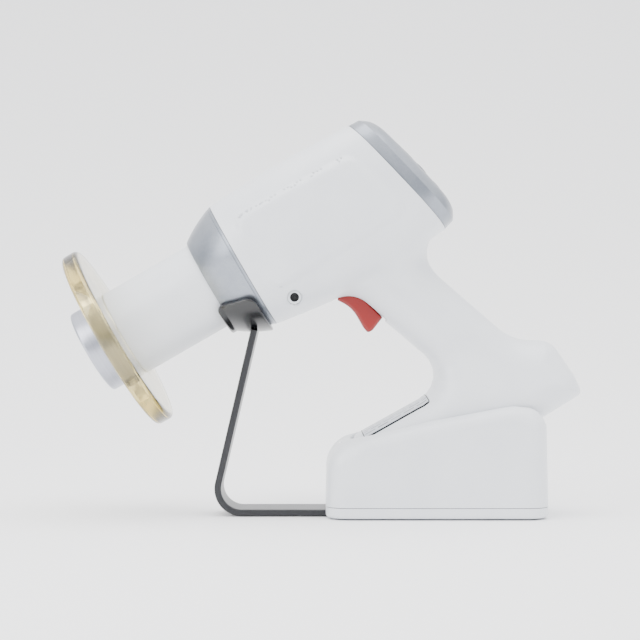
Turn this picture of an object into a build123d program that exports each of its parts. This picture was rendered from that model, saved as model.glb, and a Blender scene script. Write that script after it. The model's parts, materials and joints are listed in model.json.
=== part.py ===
from build123d import *
from math import cos, radians, sin, tan
import os

os.makedirs("parts", exist_ok=True)

# Handheld dental X-ray unit standing in its charging dock, in millimetres.
# +Z is up, the origin is on the table under the middle of the dock, and the tip points to -X.

# ---- driving dimensions: where the handset stands ----
barrel_tilt = 30.0  # the barrel's rise from the tip to the rear, in degrees
rear_extra_tilt = 13.5  # the rear face leans this much more than square to the barrel
front_seam_x = -145.0  # centre of the seam between collar and housing
front_seam_z = 188.8
handle_angle = 41.2  # fall of the handle towards the foot, in degrees

# ---- driving dimensions: barrel, collar, collimator ----
wall = 2.6
seam_radius = 51.1
collar_length = 29.0
collar_front_radius = 36.0
tube_radius = 34.0
tube_front = -103.5  # stations along the barrel axis are counted from the front seam
tip_radius = 33.0
tip_front = -132.8
tip_ring_rear = -117.0  # behind this the tip is relieved by a tenth where the shield slides
bore_radius = 30.0
shield_radius = 73.0
shield_thickness = 13.0
running_gap = 0.06
tip_relief = 0.1

# ---- driving dimensions: dock ----
dock_length = 165.0
dock_width = 94.0
dock_corner = 16.0
base_top = 8.8
mat_thickness = 1.0
pocket_floor = 29.8
foot_bottom = 31.0
foot_half_width = 33.0
foot_front = -62.0
foot_back = 112.0
foot_heel = 66.5
tail_slope = 31.4
tail_root = 64.8  # height where the tail's underside leaves the heel
pocket_gap = 0.8

# ---- driving dimensions: support strap and saddle ----
strap_width = 42.0
strap_thickness = 4.0
strap_bend = 18.0
saddle_wrap = 126.0
saddle_gap = 0.4
liner_thickness = 1.2
saddle_thickness = 3.6

# ---- driving dimensions: trigger, jack, rear panel ----
trigger_width = 16.0
trigger_gap = 0.6
trigger_pivot = (-66.0, 170.0)
jack_place = (-105.6, 164.0)
jack_bore = 3.2
key_radius = 4.5
key_gap = 0.3
key_rows = (-8.0, -24.0)
key_columns = (-12.0, 12.0)

axis_dir = Vector(cos(radians(barrel_tilt)), 0, sin(radians(barrel_tilt)))
rise_dir = Vector(-sin(radians(barrel_tilt)), 0, cos(radians(barrel_tilt)))
seam_centre = Vector(front_seam_x, 0, front_seam_z)
barrel_axis = Axis(seam_centre, axis_dir)

# Sections across the barrel: local x is world Y, local y is up from the axis.
front_seam = Plane(origin=seam_centre, x_dir=(0, 1, 0), z_dir=axis_dir)
# Outlines seen from the side: local x runs along the barrel to the rear, local y up from the axis.
barrel_side = Plane(origin=seam_centre, x_dir=axis_dir, z_dir=(0, -1, 0))


def on_barrel(along, above):
    return seam_centre + axis_dir * along + rise_dir * above


# The rear seam's plane, centred on the housing's rear end: local x is world Y, local y up the rear face.
rear_tilt = radians(barrel_tilt + rear_extra_tilt)
rear_normal = Vector(cos(rear_tilt), 0, sin(rear_tilt))
rear_seam = Plane(origin=on_barrel(132.8, -0.6), x_dir=(0, 1, 0), z_dir=rear_normal)


def finish(builder, name):
    builder.part.label = name
    export_step(builder.part, f"parts/{name}.step")


# ================= housing =================

# station along the barrel, width, height, height of the middle, corner radius
body_sections = (
    (0.0, 102.2, 102.2, 0.0, 47.0),
    (48.0, 99.0, 109.5, -2.2, 40.0),
    (100.0, 97.0, 108.0, -1.2, 36.0),
    (170.0, 95.0, 104.5, -0.6, 32.0),
)
handle_middle = (-4.2, 151.7)
handle_width = 44.0
handle_depth = 52.0
handle_corner = 19.0
handle_dir = Vector(cos(radians(handle_angle)), 0, -sin(radians(handle_angle)))


def barrel_form(inset):
    # the barrel's envelope, from a near circle at the front seam to a rounded box at the rear
    with BuildPart() as form:
        for station, width, height, middle, corner in body_sections:
            with BuildSketch(front_seam.offset(station)):
                with Locations((0, middle)):
                    RectangleRounded(width - 2 * inset, height - 2 * inset, corner - inset)
        loft()
    return form.part


def handle_form(inset):
    # the grip, a rounded bar from inside the barrel to inside the foot
    start = Vector(handle_middle[0], 0, handle_middle[1]) - handle_dir * 70
    with BuildPart() as form:
        with BuildSketch(Plane(origin=start, x_dir=(0, 1, 0), z_dir=handle_dir)):
            RectangleRounded(
                handle_width - 2 * inset, handle_depth - 2 * inset, handle_corner - inset
            )
        extrude(amount=132)
    return form.part


def foot_form(inset):
    # the foot is where three outlines meet: from the side, from above and from the front
    with BuildPart() as form:
        with BuildSketch(Plane.XZ):
            with BuildLine():
                FilletPolyline(
                    (-57, foot_bottom),
                    (foot_front, 58.5),
                    (-7, 88),
                    (3.5, 107),
                    (-12, 124.7),
                    (22, 152),
                    (54, 135.5),
                    (88, 131.5),
                    (105, 106),
                    (111, 92),
                    (foot_heel, tail_root),
                    (foot_heel - 2, foot_bottom),
                    radius=(4, 6, 22, 12, 2, 2, 10, 16, 20, 5, 4, 4),
                    close=True,
                )
            make_face()
            if inset:
                offset(amount=-inset)
        extrude(amount=60, both=True)
        with BuildSketch():
            with Locations(((foot_front + foot_back) / 2, 0)):
                RectangleRounded(
                    foot_back - foot_front - 2 * inset, 2 * (foot_half_width - inset), 26 - inset
                )
        extrude(amount=170, mode=Mode.INTERSECT)
        with BuildSketch(Plane.YZ.offset(-80)):
            with BuildLine():
                FilletPolyline(
                    (31.5 - inset, 20),
                    (33 - inset, 80),
                    (23 - inset, 138),
                    (22 - inset, 165),
                    (-22 + inset, 165),
                    (-23 + inset, 138),
                    (-33 + inset, 80),
                    (-31.5 + inset, 20),
                    radius=(1, 20, 8, 1, 1, 8, 20, 1),
                    close=True,
                )
            make_face()
        extrude(amount=200, mode=Mode.INTERSECT)
    return form.part


# The raised side pad, a soft-edged panel on each flank of the barrel.
pad_outline = ((8, 34), (109, 32), (131, -30), (8, -33))
pad_reach = 50.9

with BuildPart() as side_pads:
    with BuildSketch(barrel_side.offset(42)):
        with BuildLine():
            FilletPolyline(*pad_outline, radius=(12, 14, 14, 12), close=True)
        make_face()
    extrude(amount=pad_reach - 42)
    chamfer(side_pads.faces().sort_by(Axis.Y)[0].edges(), 3.5)
    mirror(about=Plane.XZ)

outer_barrel = barrel_form(0)
outer_handle = handle_form(0)
outer_foot = foot_form(0)
inner_barrel = barrel_form(wall)
inner_handle = handle_form(wall)
inner_foot = foot_form(wall)

with BuildPart() as housing_form:
    add(outer_barrel)
    add(side_pads.part)
    split(bisect_by=rear_seam, keep=Keep.BOTTOM)
    add(outer_handle)
    add(outer_foot)

# The trigger's slot, open at the front of the handle's root.
slot_outline = (
    (-77, 156),
    (-75.5, 176),
    (-50, 176),
    (-35.5, 149.5),
    (-46, 134),
)

# Screw bosses join the two halves: places in X and Z.
boss_places = ((-79.4, 275.2), (-42.0, 204.0), (8.0, 141.0), (78.0, 112.0), (-48.0, 45.0), (58.5, 74.0))
boss_radius = 3.6
screw_radius = 1.5
head_radius = 2.9
head_seat = 10.0
screw_end = -8.0

pin_reach = trigger_width / 2 + trigger_gap + 3
contact_places = ((20.0, -12.0), (20.0, 12.0))
contact_size = (10.0, 6.0)

with BuildPart() as housing_whole:
    add(housing_form.part)
    add(inner_barrel, mode=Mode.SUBTRACT)
    add(inner_handle, mode=Mode.SUBTRACT)
    add(inner_foot, mode=Mode.SUBTRACT)
    with BuildSketch(Plane.XZ):
        with Locations(*boss_places):
            Circle(boss_radius)
    extrude(amount=60, both=True)
    add(housing_form.part, mode=Mode.INTERSECT)
    with BuildSketch(Plane.XZ):
        Polygon(*slot_outline, align=None)
    extrude(amount=trigger_width / 2 + trigger_gap, both=True, mode=Mode.SUBTRACT)
    with BuildSketch(Plane.XZ):
        with Locations(trigger_pivot):
            Circle(screw_radius)
    extrude(amount=pin_reach, both=True, mode=Mode.SUBTRACT)
    with BuildSketch(Plane.XY.offset(foot_bottom)):
        with Locations(*contact_places):
            Rectangle(*contact_size)
    extrude(amount=wall, mode=Mode.SUBTRACT)

with BuildPart() as housing_left:
    add(housing_whole.part)
    split(bisect_by=Plane.XZ, keep=Keep.TOP)
    with BuildSketch(Plane.XZ):
        with Locations(*boss_places):
            Circle(screw_radius)
    extrude(amount=-screw_end, mode=Mode.SUBTRACT)
    with BuildSketch(Plane.XZ.offset(20)):
        with Locations(jack_place):
            Circle(4.9)
    extrude(amount=40, mode=Mode.SUBTRACT)

with BuildPart() as housing_right:
    add(housing_whole.part)
    split(bisect_by=Plane.XZ, keep=Keep.BOTTOM)
    with BuildSketch(Plane.XZ):
        with Locations(*boss_places):
            Circle(screw_radius)
    extrude(amount=-head_seat, mode=Mode.SUBTRACT)
    with BuildSketch(Plane.XZ.offset(-head_seat)):
        with Locations(*boss_places):
            Circle(head_radius)
    extrude(amount=-60, mode=Mode.SUBTRACT)

finish(housing_left, "housing_left")
finish(housing_right, "housing_right")

with BuildPart() as housing_screws:
    with BuildSketch(Plane.XZ.offset(-screw_end)):
        with Locations(*boss_places):
            Circle(screw_radius)
    extrude(amount=-(head_seat - screw_end))
    with BuildSketch(Plane.XZ.offset(-head_seat)):
        with Locations(*boss_places):
            Circle(head_radius - 0.2)
    extrude(amount=-2.2)
    with BuildSketch(Plane.XZ.offset(-head_seat - 2.2)):
        with Locations(*boss_places):
            RegularPolygon(1.4, 6)
    extrude(amount=1.4, mode=Mode.SUBTRACT)
finish(housing_screws, "housing_screws")

# ================= collar, collimator and shield =================


def along_barrel(station):
    return front_seam.offset(station)


def collar_arc(grow):
    # the collar's swelling outline from the tube to the seam, grown outwards for what cups it
    ThreePointArc(
        (-collar_length, collar_front_radius + grow),
        (-collar_length / 2, 45.0 + grow),
        (0, seam_radius + grow),
    )


with BuildPart() as front_collar:
    with BuildSketch(barrel_side):
        with BuildLine():
            collar_arc(0)
            Line((0, seam_radius), (0, seam_radius - 3))
            Line((0, seam_radius - 3), (-collar_length + 3, collar_front_radius + 0.4))
            Line(
                (-collar_length + 3, collar_front_radius + 0.4),
                (-collar_length + 3, tube_radius),
            )
            Line((-collar_length + 3, tube_radius), (-collar_length, tube_radius))
            Line((-collar_length, tube_radius), (-collar_length, collar_front_radius))
        make_face()
    revolve(axis=barrel_axis)
finish(front_collar, "front_collar")

with BuildPart() as collimator_tube:
    with BuildSketch(along_barrel(tube_front)):
        Circle(tube_radius)
        Circle(bore_radius, mode=Mode.SUBTRACT)
    extrude(amount=-tube_front - 8)
    chamfer(collimator_tube.faces().sort_by(barrel_axis)[0].edges().sort_by(SortBy.RADIUS)[-1], 0.8)
    with BuildSketch(along_barrel(-8)):
        Circle(tube_radius + 5)
        Circle(bore_radius, mode=Mode.SUBTRACT)
    extrude(amount=5)
finish(collimator_tube, "collimator_tube")

with BuildPart() as collimator_tip:
    with BuildSketch(along_barrel(tip_front)):
        Circle(tip_radius)
    extrude(amount=tip_ring_rear - tip_front)
    fillet(collimator_tip.edges().sort_by(barrel_axis)[0], 1.6)
    with BuildSketch(along_barrel(tip_ring_rear)):
        Circle(tip_radius - tip_relief)
    extrude(amount=tube_front - tip_ring_rear)
    with BuildSketch(along_barrel(tube_front)):
        Circle(bore_radius)
    extrude(amount=14)
    with BuildSketch(along_barrel(tip_front)):
        Circle(bore_radius - 1.6)
    extrude(amount=60, mode=Mode.SUBTRACT)
    with BuildSketch(along_barrel(tip_front)):
        Circle(bore_radius)
    extrude(amount=6, mode=Mode.SUBTRACT)
finish(collimator_tip, "collimator_tip")

with BuildPart() as aperture_window:
    with BuildSketch(along_barrel(tip_front + 4)):
        Circle(bore_radius - 0.05)
    extrude(amount=2)
finish(aperture_window, "aperture_window")

with BuildPart() as lead_liner:
    with BuildSketch(along_barrel(tube_front + 14)):
        Circle(bore_radius)
        Circle(bore_radius - 1.6, mode=Mode.SUBTRACT)
    extrude(amount=-tube_front - 14 - 3)
finish(lead_liner, "lead_liner")

with BuildPart() as backscatter_shield:
    with BuildSketch(along_barrel(tube_front - shield_thickness)):
        Circle(shield_radius)
    extrude(amount=shield_thickness)
    fillet(backscatter_shield.edges(), 2.2)
    with BuildSketch(along_barrel(tube_front - shield_thickness)):
        Circle(tip_radius + running_gap)
    extrude(amount=shield_thickness, mode=Mode.SUBTRACT)
finish(backscatter_shield, "backscatter_shield")

# ================= tube head inside the barrel =================

tank_radius = 40.0
tank_front = 8.0
tank_length = 78.0
tank_wall = 2.5
port_radius = 14.0
glass_station = 34.0
glass_radius = 14.0
glass_length = 60.0
glass_wall = 1.5

with BuildPart() as tube_tank:
    with BuildSketch(along_barrel(tank_front)):
        Circle(tank_radius)
    extrude(amount=tank_length)
    with BuildSketch(along_barrel(tank_front + tank_wall)):
        Circle(tank_radius - tank_wall)
    extrude(amount=tank_length, mode=Mode.SUBTRACT)
    with BuildSketch(along_barrel(tank_front)):
        Circle(port_radius)
    extrude(amount=tank_wall, mode=Mode.SUBTRACT)
finish(tube_tank, "tube_tank")

with BuildPart() as tank_cover:
    with BuildSketch(along_barrel(tank_front + tank_length)):
        Circle(tank_radius)
    extrude(amount=3)
    with BuildSketch(along_barrel(tank_front + tank_length)):
        with PolarLocations(tank_radius - 6, 6):
            Circle(1.7)
    extrude(amount=3, mode=Mode.SUBTRACT)
finish(tank_cover, "tank_cover")

with BuildPart() as beam_filter:
    with BuildSketch(along_barrel(tank_front)):
        Circle(port_radius)
    extrude(amount=tank_wall)
finish(beam_filter, "beam_filter")

# A stop ring between the housing's front and the tube keeps the beam inside the collimator.
with BuildPart() as collimator_stop:
    with BuildSketch(along_barrel(-3)):
        Circle(tube_radius + 5)
        Circle(bore_radius - 12, mode=Mode.SUBTRACT)
    extrude(amount=4)
finish(collimator_stop, "collimator_stop")

glass_axis = Plane(
    origin=on_barrel(glass_station, -glass_length / 2), x_dir=(0, 1, 0), z_dir=rise_dir
)

with BuildPart() as xray_tube:
    with BuildSketch(glass_axis):
        Circle(glass_radius)
    extrude(amount=glass_length)
    fillet(xray_tube.edges(), 5)
    with BuildSketch(glass_axis.offset(glass_wall)):
        Circle(glass_radius - glass_wall)
    extrude(amount=glass_length - 2 * glass_wall, mode=Mode.SUBTRACT)
finish(xray_tube, "xray_tube")

with BuildPart() as cathode_cup:
    with BuildSketch(glass_axis.offset(glass_wall)):
        Circle(7)
    extrude(amount=20)
    with BuildSketch(glass_axis.offset(glass_wall + 16)):
        Rectangle(9, 3)
    extrude(amount=4, mode=Mode.SUBTRACT)
finish(cathode_cup, "cathode_cup")

anode_length = 26.0
with BuildPart() as anode:
    with BuildSketch(glass_axis.offset(glass_length - glass_wall)):
        Circle(7.5)
    extrude(amount=-anode_length)
    target_face = Plane(
        origin=on_barrel(glass_station - 3, glass_length / 2 - glass_wall - anode_length + 3),
        x_dir=(0, 1, 0),
        z_dir=-rise_dir - axis_dir * 0.36,
    )
    split(bisect_by=target_face, keep=Keep.BOTTOM)
finish(anode, "anode")

with BuildPart() as hv_transformer:
    with BuildSketch(along_barrel(57)):
        RectangleRounded(46, 46, 4)
    extrude(amount=29)
    with BuildSketch(along_barrel(57)):
        with Locations((0, 13), (0, -13)):
            Rectangle(47, 6)
    extrude(amount=22, mode=Mode.SUBTRACT)
finish(hv_transformer, "hv_transformer")

board_depth = 16.0
with BuildPart() as main_circuit_board:
    with BuildSketch(rear_seam.offset(-board_depth)):
        RectangleRounded(74, 78, 3)
    extrude(amount=1.6)
    with BuildSketch(rear_seam.offset(-board_depth + 1.6)):
        with GridLocations(22, 24, 3, 3):
            Rectangle(12, 9)
    extrude(amount=3.2)
finish(main_circuit_board, "main_circuit_board")

# ================= rear bezel, display and keys =================

# width, height and corner radius at the seam, at the chamfer's start and at the panel seat
bezel_sections = ((95.6, 105.6, 33.0), (94.6, 104.6, 33.0), (68.0, 78.0, 21.0))
bezel_wall = 9.0
panel_seat = 16.4
panel_thickness = 1.4
panel_width = 64.0
panel_height = 74.0
screen_size = (44.0, 26.0)
screen_height = 14.0
plate_bottom = 13.8
power_tilt = 28.4
power_height = -45.9
power_depth = 12.6
power_radius = 3.0


def bezel_form(inset, depths):
    # the bezel's envelope: a straight wall, then a broad chamfer to the flat panel seat
    with BuildPart() as form:
        for (width, height, corner), depth in zip(bezel_sections, depths):
            with BuildSketch(rear_seam.offset(depth)):
                RectangleRounded(width - 2 * inset, height - 2 * inset, corner - inset)
        loft(ruled=True)
    return form.part


outer_bezel = bezel_form(0, (0.0, bezel_wall, panel_seat))
inner_bezel = bezel_form(2.5, (0.0, bezel_wall - 0.8, plate_bottom))
key_places = [(column, row) for row in key_rows for column in key_columns]
power_axis = Plane(
    origin=rear_seam.from_local_coords((0, power_height, power_depth)),
    x_dir=(0, 1, 0),
    z_dir=rear_normal.rotate(Axis.Y, power_tilt),
)

with BuildPart() as rear_bezel:
    add(outer_bezel)
    add(inner_bezel, mode=Mode.SUBTRACT)
    with BuildSketch(rear_seam.offset(plate_bottom - 1)):
        with Locations((0, screen_height)):
            Rectangle(screen_size[0] - 2, screen_size[1] - 2)
        with Locations(*key_places):
            Circle(key_radius + key_gap)
    extrude(amount=5, mode=Mode.SUBTRACT)
    with BuildSketch(power_axis.offset(-8)):
        Circle(power_radius + key_gap)
    extrude(amount=12, mode=Mode.SUBTRACT)
finish(rear_bezel, "rear_bezel")

with BuildPart() as display_panel:
    with BuildSketch(rear_seam.offset(panel_seat)):
        RectangleRounded(panel_width, panel_height, 18)
        with Locations((0, screen_height)):
            Rectangle(*screen_size, mode=Mode.SUBTRACT)
        with Locations(*key_places):
            Circle(key_radius + key_gap, mode=Mode.SUBTRACT)
    extrude(amount=panel_thickness)
finish(display_panel, "display_panel")

with BuildPart() as display_window:
    with BuildSketch(rear_seam.offset(panel_seat)):
        with Locations((0, screen_height)):
            Rectangle(*screen_size)
    extrude(amount=panel_thickness - 0.2)
finish(display_window, "display_window")

keypad_depth = 4.0
with BuildPart() as keypad_board:
    with BuildSketch(rear_seam.offset(keypad_depth)):
        RectangleRounded(60, 72, 4)
    extrude(amount=1.6)
    with BuildSketch(rear_seam.offset(keypad_depth + 1.6)):
        with Locations(*key_places):
            Rectangle(6, 6)
    extrude(amount=4.6)
finish(keypad_board, "keypad_board")

with BuildPart() as display_module:
    with BuildSketch(rear_seam.offset(keypad_depth + 1.6)):
        with Locations((0, screen_height)):
            Rectangle(screen_size[0] + 4, screen_size[1] + 2)
    extrude(amount=plate_bottom - keypad_depth - 1.6)
finish(display_module, "display_module")

key_names = ("key_up", "key_down", "key_preset", "key_enter")
key_bottom = 11.2
key_top = 18.6
for name, (column, row) in zip(key_names, key_places):
    with BuildPart() as key:
        with BuildSketch(rear_seam.offset(key_bottom)):
            with Locations((column, row)):
                Circle(key_radius)
        extrude(amount=key_top - key_bottom)
        fillet(key.edges().sort_by(Axis(rear_seam.origin, rear_normal))[-1], 0.6)
    finish(key, name)

with BuildPart() as power_button:
    with BuildSketch(power_axis.offset(-4.5)):
        Circle(power_radius)
    extrude(amount=5.6)
    fillet(power_button.edges().sort_by(Axis(power_axis.origin, power_axis.z_dir))[-1], 0.8)
finish(power_button, "power_button")

# ================= trigger =================

trigger_front = (-73.5, 162.2)
trigger_tip = (-50.3, 138.2)

with BuildPart() as trigger:
    with BuildSketch(Plane.XZ):
        with BuildLine():
            Spline(
                trigger_front,
                (-64.0, 155.6),
                (-56.4, 146.4),
                trigger_tip,
                tangents=((1.0, -0.35), (0.75, -1.0)),
            )
            Line(trigger_tip, (-47.4, 139.6))
            Line((-47.4, 139.6), (-39.6, 149.2))
            Line((-39.6, 149.2), (-52.0, 162.0))
            Line((-52.0, 162.0), (-60.0, 174.0))
            Line((-60.0, 174.0), (-71.5, 173.0))
            Line((-71.5, 173.0), trigger_front)
        make_face()
    extrude(amount=trigger_width / 2, both=True)
    fillet(trigger.faces().filter_by(Axis.Y).edges().filter_by(GeomType.BSPLINE), 1.8)
    with BuildSketch(Plane.XZ):
        with Locations(trigger_pivot):
            Circle(screw_radius + 0.05)
    extrude(amount=20, both=True, mode=Mode.SUBTRACT)
finish(trigger, "trigger")

with BuildPart() as trigger_pin:
    with BuildSketch(Plane.XZ):
        with Locations(trigger_pivot):
            Circle(screw_radius)
    extrude(amount=pin_reach, both=True)
finish(trigger_pin, "trigger_pin")

with BuildPart() as trigger_switch:
    with BuildSketch(Plane.XZ):
        with Locations((-36, 166)):
            Rectangle(10, 12, rotation=-handle_angle)
    extrude(amount=5, both=True)
finish(trigger_switch, "trigger_switch")

# ================= battery, contacts, jack and label =================

cell_radius = 9.0
cell_length = 65.0
cell_front = -16.0
cell_places = [(side, height) for side in (-10.0, 10.0) for height in (45.0, 64.0)]

with BuildPart() as battery_cells:
    with BuildSketch(Plane.YZ.offset(cell_front)):
        with Locations(*cell_places):
            Circle(cell_radius)
    extrude(amount=cell_length)
finish(battery_cells, "battery_cells")

with BuildPart() as battery_holder:
    with BuildSketch(Plane.YZ.offset(cell_front - 2)):
        with Locations((0, 54.5)):
            RectangleRounded(42, 41, 3)
    extrude(amount=cell_length + 4)
    with BuildSketch(Plane.YZ.offset(cell_front)):
        with Locations((0, 56.5)):
            Rectangle(38.2, 41)
    extrude(amount=cell_length, mode=Mode.SUBTRACT)
finish(battery_holder, "battery_holder")

with BuildPart() as charge_contacts:
    with BuildSketch(Plane.XY.offset(foot_bottom)):
        with Locations(*contact_places):
            Rectangle(*contact_size)
    extrude(amount=wall)
finish(charge_contacts, "charge_contacts")

foot_pad_places = ((-44.0, -20.0), (-44.0, 20.0), (54.0, -20.0), (54.0, 20.0))
with BuildPart() as foot_pads:
    with BuildSketch(Plane.XY.offset(foot_bottom)):
        with Locations(*foot_pad_places):
            Circle(4.5)
    extrude(amount=-(foot_bottom - pocket_floor) + 0.1)
finish(foot_pads, "foot_pads")

jack_face = 37.6
jack_side = Plane.XZ.offset(jack_face)
with BuildPart() as dc_jack:
    with BuildSketch(Plane.XZ.offset(jack_face - 14)):
        with Locations(jack_place):
            Circle(4.2)
    extrude(amount=14)
    with BuildSketch(jack_side):
        with Locations(jack_place):
            Circle(jack_bore)
    extrude(amount=-6, mode=Mode.SUBTRACT)
    with BuildSketch(jack_side.offset(-6)):
        with Locations(jack_place):
            Circle(jack_bore - 0.7)
            Circle(1.0, mode=Mode.SUBTRACT)
    extrude(amount=-5, mode=Mode.SUBTRACT)
finish(dc_jack, "dc_jack")

with BuildPart() as jack_ring:
    with BuildSketch(Plane.XZ.offset(jack_face - 8)):
        with Locations(jack_place):
            Circle(4.9)
            Circle(4.2, mode=Mode.SUBTRACT)
    extrude(amount=8)
finish(jack_ring, "jack_ring")

# The rating label lies on the foot's front slope.
slope_angle = 28.2
label_plane = Plane(
    origin=(-34.5, 0, 73.3),
    x_dir=(cos(radians(slope_angle)), 0, sin(radians(slope_angle))),
    z_dir=(-sin(radians(slope_angle)), 0, cos(radians(slope_angle))),
)
with BuildPart() as rating_label:
    with BuildSketch(label_plane):
        RectangleRounded(50, 38, 1.5)
    extrude(amount=0.5)
finish(rating_label, "rating_label")

# ================= charging dock =================

shell_wall = 2.6
dock_outline = (
    (-dock_length / 2, base_top),
    (-dock_length / 2 + 2, 44),
    (-60, 60.5),
    (-6, 73.6),
    (56, 84.6),
    (dock_length / 2 - 1, 83),
    (dock_length / 2, base_top),
)
dock_radii = (1, 16, 30, 60, 8, 17, 1)
dock_top_angle = 11.6
dock_edge = 11.0
top_dir = Vector(cos(radians(dock_top_angle)), 0, sin(radians(dock_top_angle)))
top_line = Plane(origin=(-140, 0, 44.6), x_dir=(0, 1, 0), z_dir=top_dir)


def dock_form(inset):
    # the dock's envelope: its side outline, its rounded plan and the rounded edges along its top
    with BuildPart() as form:
        with BuildSketch(Plane.XZ):
            with BuildLine():
                FilletPolyline(*dock_outline, radius=dock_radii, close=True)
            make_face()
            if inset:
                offset(amount=-inset)
        extrude(amount=dock_width, both=True)
        with BuildSketch():
            RectangleRounded(
                dock_length - 2 * inset, dock_width - 2 * inset, dock_corner - inset
            )
        extrude(amount=120, mode=Mode.INTERSECT)
        with BuildSketch(top_line):
            with Locations((0, -80)):
                RectangleRounded(dock_width - 2 * inset, 160 - 2 * inset, dock_edge - inset)
        extrude(amount=300, mode=Mode.INTERSECT)
    return form.part


def pocket_block(grow, bottom):
    # the well that the foot stands in: the foot's plan with clearance, cut square behind the heel
    # below the line of the tail's underside and open above it
    heel = foot_heel + grow
    with BuildPart() as block:
        with BuildSketch(Plane.XY.offset(bottom)):
            with Locations(((foot_front + foot_back) / 2, 0)):
                RectangleRounded(
                    foot_back - foot_front + 2 * grow, 2 * (foot_half_width + grow), 26 + grow
                )
        extrude(amount=90)
        tail_start = tail_root - grow / cos(radians(tail_slope))
        with BuildSketch(Plane.XZ):
            Polygon(
                (heel, 0),
                (heel, tail_start),
                (heel + 80, tail_start + 80 * tan(radians(tail_slope))),
                (heel + 80, 0),
                align=None,
            )
        extrude(amount=100, both=True, mode=Mode.SUBTRACT)
    return block.part


outer_dock = dock_form(0)
inner_dock = dock_form(shell_wall)
pocket_space = pocket_block(pocket_gap, pocket_floor)
with BuildPart() as well:
    add(pocket_block(pocket_gap + shell_wall - 1.0, pocket_floor - shell_wall))
    add(outer_dock, mode=Mode.INTERSECT)

# The charging light sits in the slope at the dock's front.
lens_angle = 38.0
lens_plane = Plane(
    origin=(-68.9, -8, 54.2),
    x_dir=(0, 1, 0),
    z_dir=(-sin(radians(lens_angle)), 0, cos(radians(lens_angle))),
)
with BuildPart() as indicator_lens:
    with BuildSketch(lens_plane.offset(-2.5)):
        RectangleRounded(14, 6, 1.2)
    extrude(amount=2.9)
finish(indicator_lens, "indicator_lens")

post_places = ((-58.0, 26.0), (-58.0, -26.0), (60.0, 26.0), (60.0, -26.0))
post_radius = 4.0
pin_places = contact_places
inlet_height = 19.0
inlet_bore = 3.2

with BuildPart() as dock_shell:
    add(outer_dock)
    add(inner_dock, mode=Mode.SUBTRACT)
    add(well.part)
    with BuildSketch(Plane.XY.offset(base_top)):
        with Locations(*post_places):
            Circle(post_radius)
    extrude(amount=pocket_floor - shell_wall - base_top)
    with BuildSketch(Plane.XY.offset(base_top)):
        with Locations(*post_places):
            Circle(screw_radius)
    extrude(amount=10, mode=Mode.SUBTRACT)
    add(pocket_space, mode=Mode.SUBTRACT)
    with BuildSketch(Plane.XY.offset(pocket_floor)):
        with Locations(*pin_places):
            Circle(1.9)
    extrude(amount=-8, mode=Mode.SUBTRACT)
    with BuildSketch(Plane.YZ.offset(dock_length / 2 - 12)):
        with Locations((0, inlet_height)):
            Circle(5.0)
    extrude(amount=20, mode=Mode.SUBTRACT)
    add(indicator_lens.part, mode=Mode.SUBTRACT)
finish(dock_shell, "dock_shell")

with BuildPart() as power_inlet:
    with BuildSketch(Plane.YZ.offset(dock_length / 2 - 14)):
        with Locations((0, inlet_height)):
            Circle(5.0)
    extrude(amount=13)
    with BuildSketch(Plane.YZ.offset(dock_length / 2 - 1)):
        with Locations((0, inlet_height)):
            Circle(inlet_bore)
    extrude(amount=-6, mode=Mode.SUBTRACT)
    with BuildSketch(Plane.YZ.offset(dock_length / 2 - 7)):
        with Locations((0, inlet_height)):
            Circle(inlet_bore - 0.7)
            Circle(1.0, mode=Mode.SUBTRACT)
    extrude(amount=-5, mode=Mode.SUBTRACT)
finish(power_inlet, "power_inlet")

strap_tail = -4.0
channel_gap = 0.5
strap_bottom = 0.8
strap_top = strap_bottom + strap_thickness

with BuildPart() as dock_base_plate:
    with BuildSketch(Plane.XY.offset(mat_thickness)):
        RectangleRounded(dock_length, dock_width, dock_corner)
    extrude(amount=base_top - mat_thickness)
    fillet(dock_base_plate.edges().group_by(Axis.Z)[0], 3)
    with BuildSketch(Plane.XY.offset(3.5)):
        with Locations((35, 0)):
            RectangleRounded(62, 72, 4)
        with Locations((-35, 32), (-35, -32)):
            Rectangle(40, 12)
    extrude(amount=10, mode=Mode.SUBTRACT)
    channel_length = dock_length / 2 + strap_tail
    with BuildSketch(Plane.XY):
        with Locations((strap_tail - channel_length / 2, 0)):
            Rectangle(channel_length, strap_width + 2 * channel_gap)
    extrude(amount=strap_top, mode=Mode.SUBTRACT)
    with BuildSketch(Plane.XY):
        with Locations(*post_places):
            Circle(screw_radius)
    extrude(amount=base_top, mode=Mode.SUBTRACT)
    with BuildSketch(Plane.XY):
        with Locations(*post_places):
            Circle(3.2)
    extrude(amount=4.2, mode=Mode.SUBTRACT)
finish(dock_base_plate, "dock_base_plate")

with BuildPart() as dock_screws:
    with BuildSketch(Plane.XY.offset(4.2)):
        with Locations(*post_places):
            Circle(screw_radius)
    extrude(amount=13)
    with BuildSketch(Plane.XY.offset(2.2)):
        with Locations(*post_places):
            Circle(2.8)
    extrude(amount=2)
    with BuildSketch(Plane.XY.offset(2.2)):
        with Locations(*post_places):
            Rectangle(3.2, 0.8)
            Rectangle(0.8, 3.2)
    extrude(amount=1, mode=Mode.SUBTRACT)
finish(dock_screws, "dock_screws")

with BuildPart() as non_slip_mat:
    with BuildSketch():
        RectangleRounded(dock_length - 14, dock_width - 14, dock_corner - 7)
        with Locations((strap_tail - 60, 0)):
            Rectangle(120, strap_width + 2 * channel_gap, mode=Mode.SUBTRACT)
        with Locations(*post_places):
            Circle(3.2, mode=Mode.SUBTRACT)
    extrude(amount=mat_thickness)
finish(non_slip_mat, "non_slip_mat")

with BuildPart() as ballast_plate:
    with BuildSketch(Plane.XY.offset(3.5)):
        with Locations((35, 0)):
            RectangleRounded(58, 40, 3)
    extrude(amount=5)
finish(ballast_plate, "ballast_plate")

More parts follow.
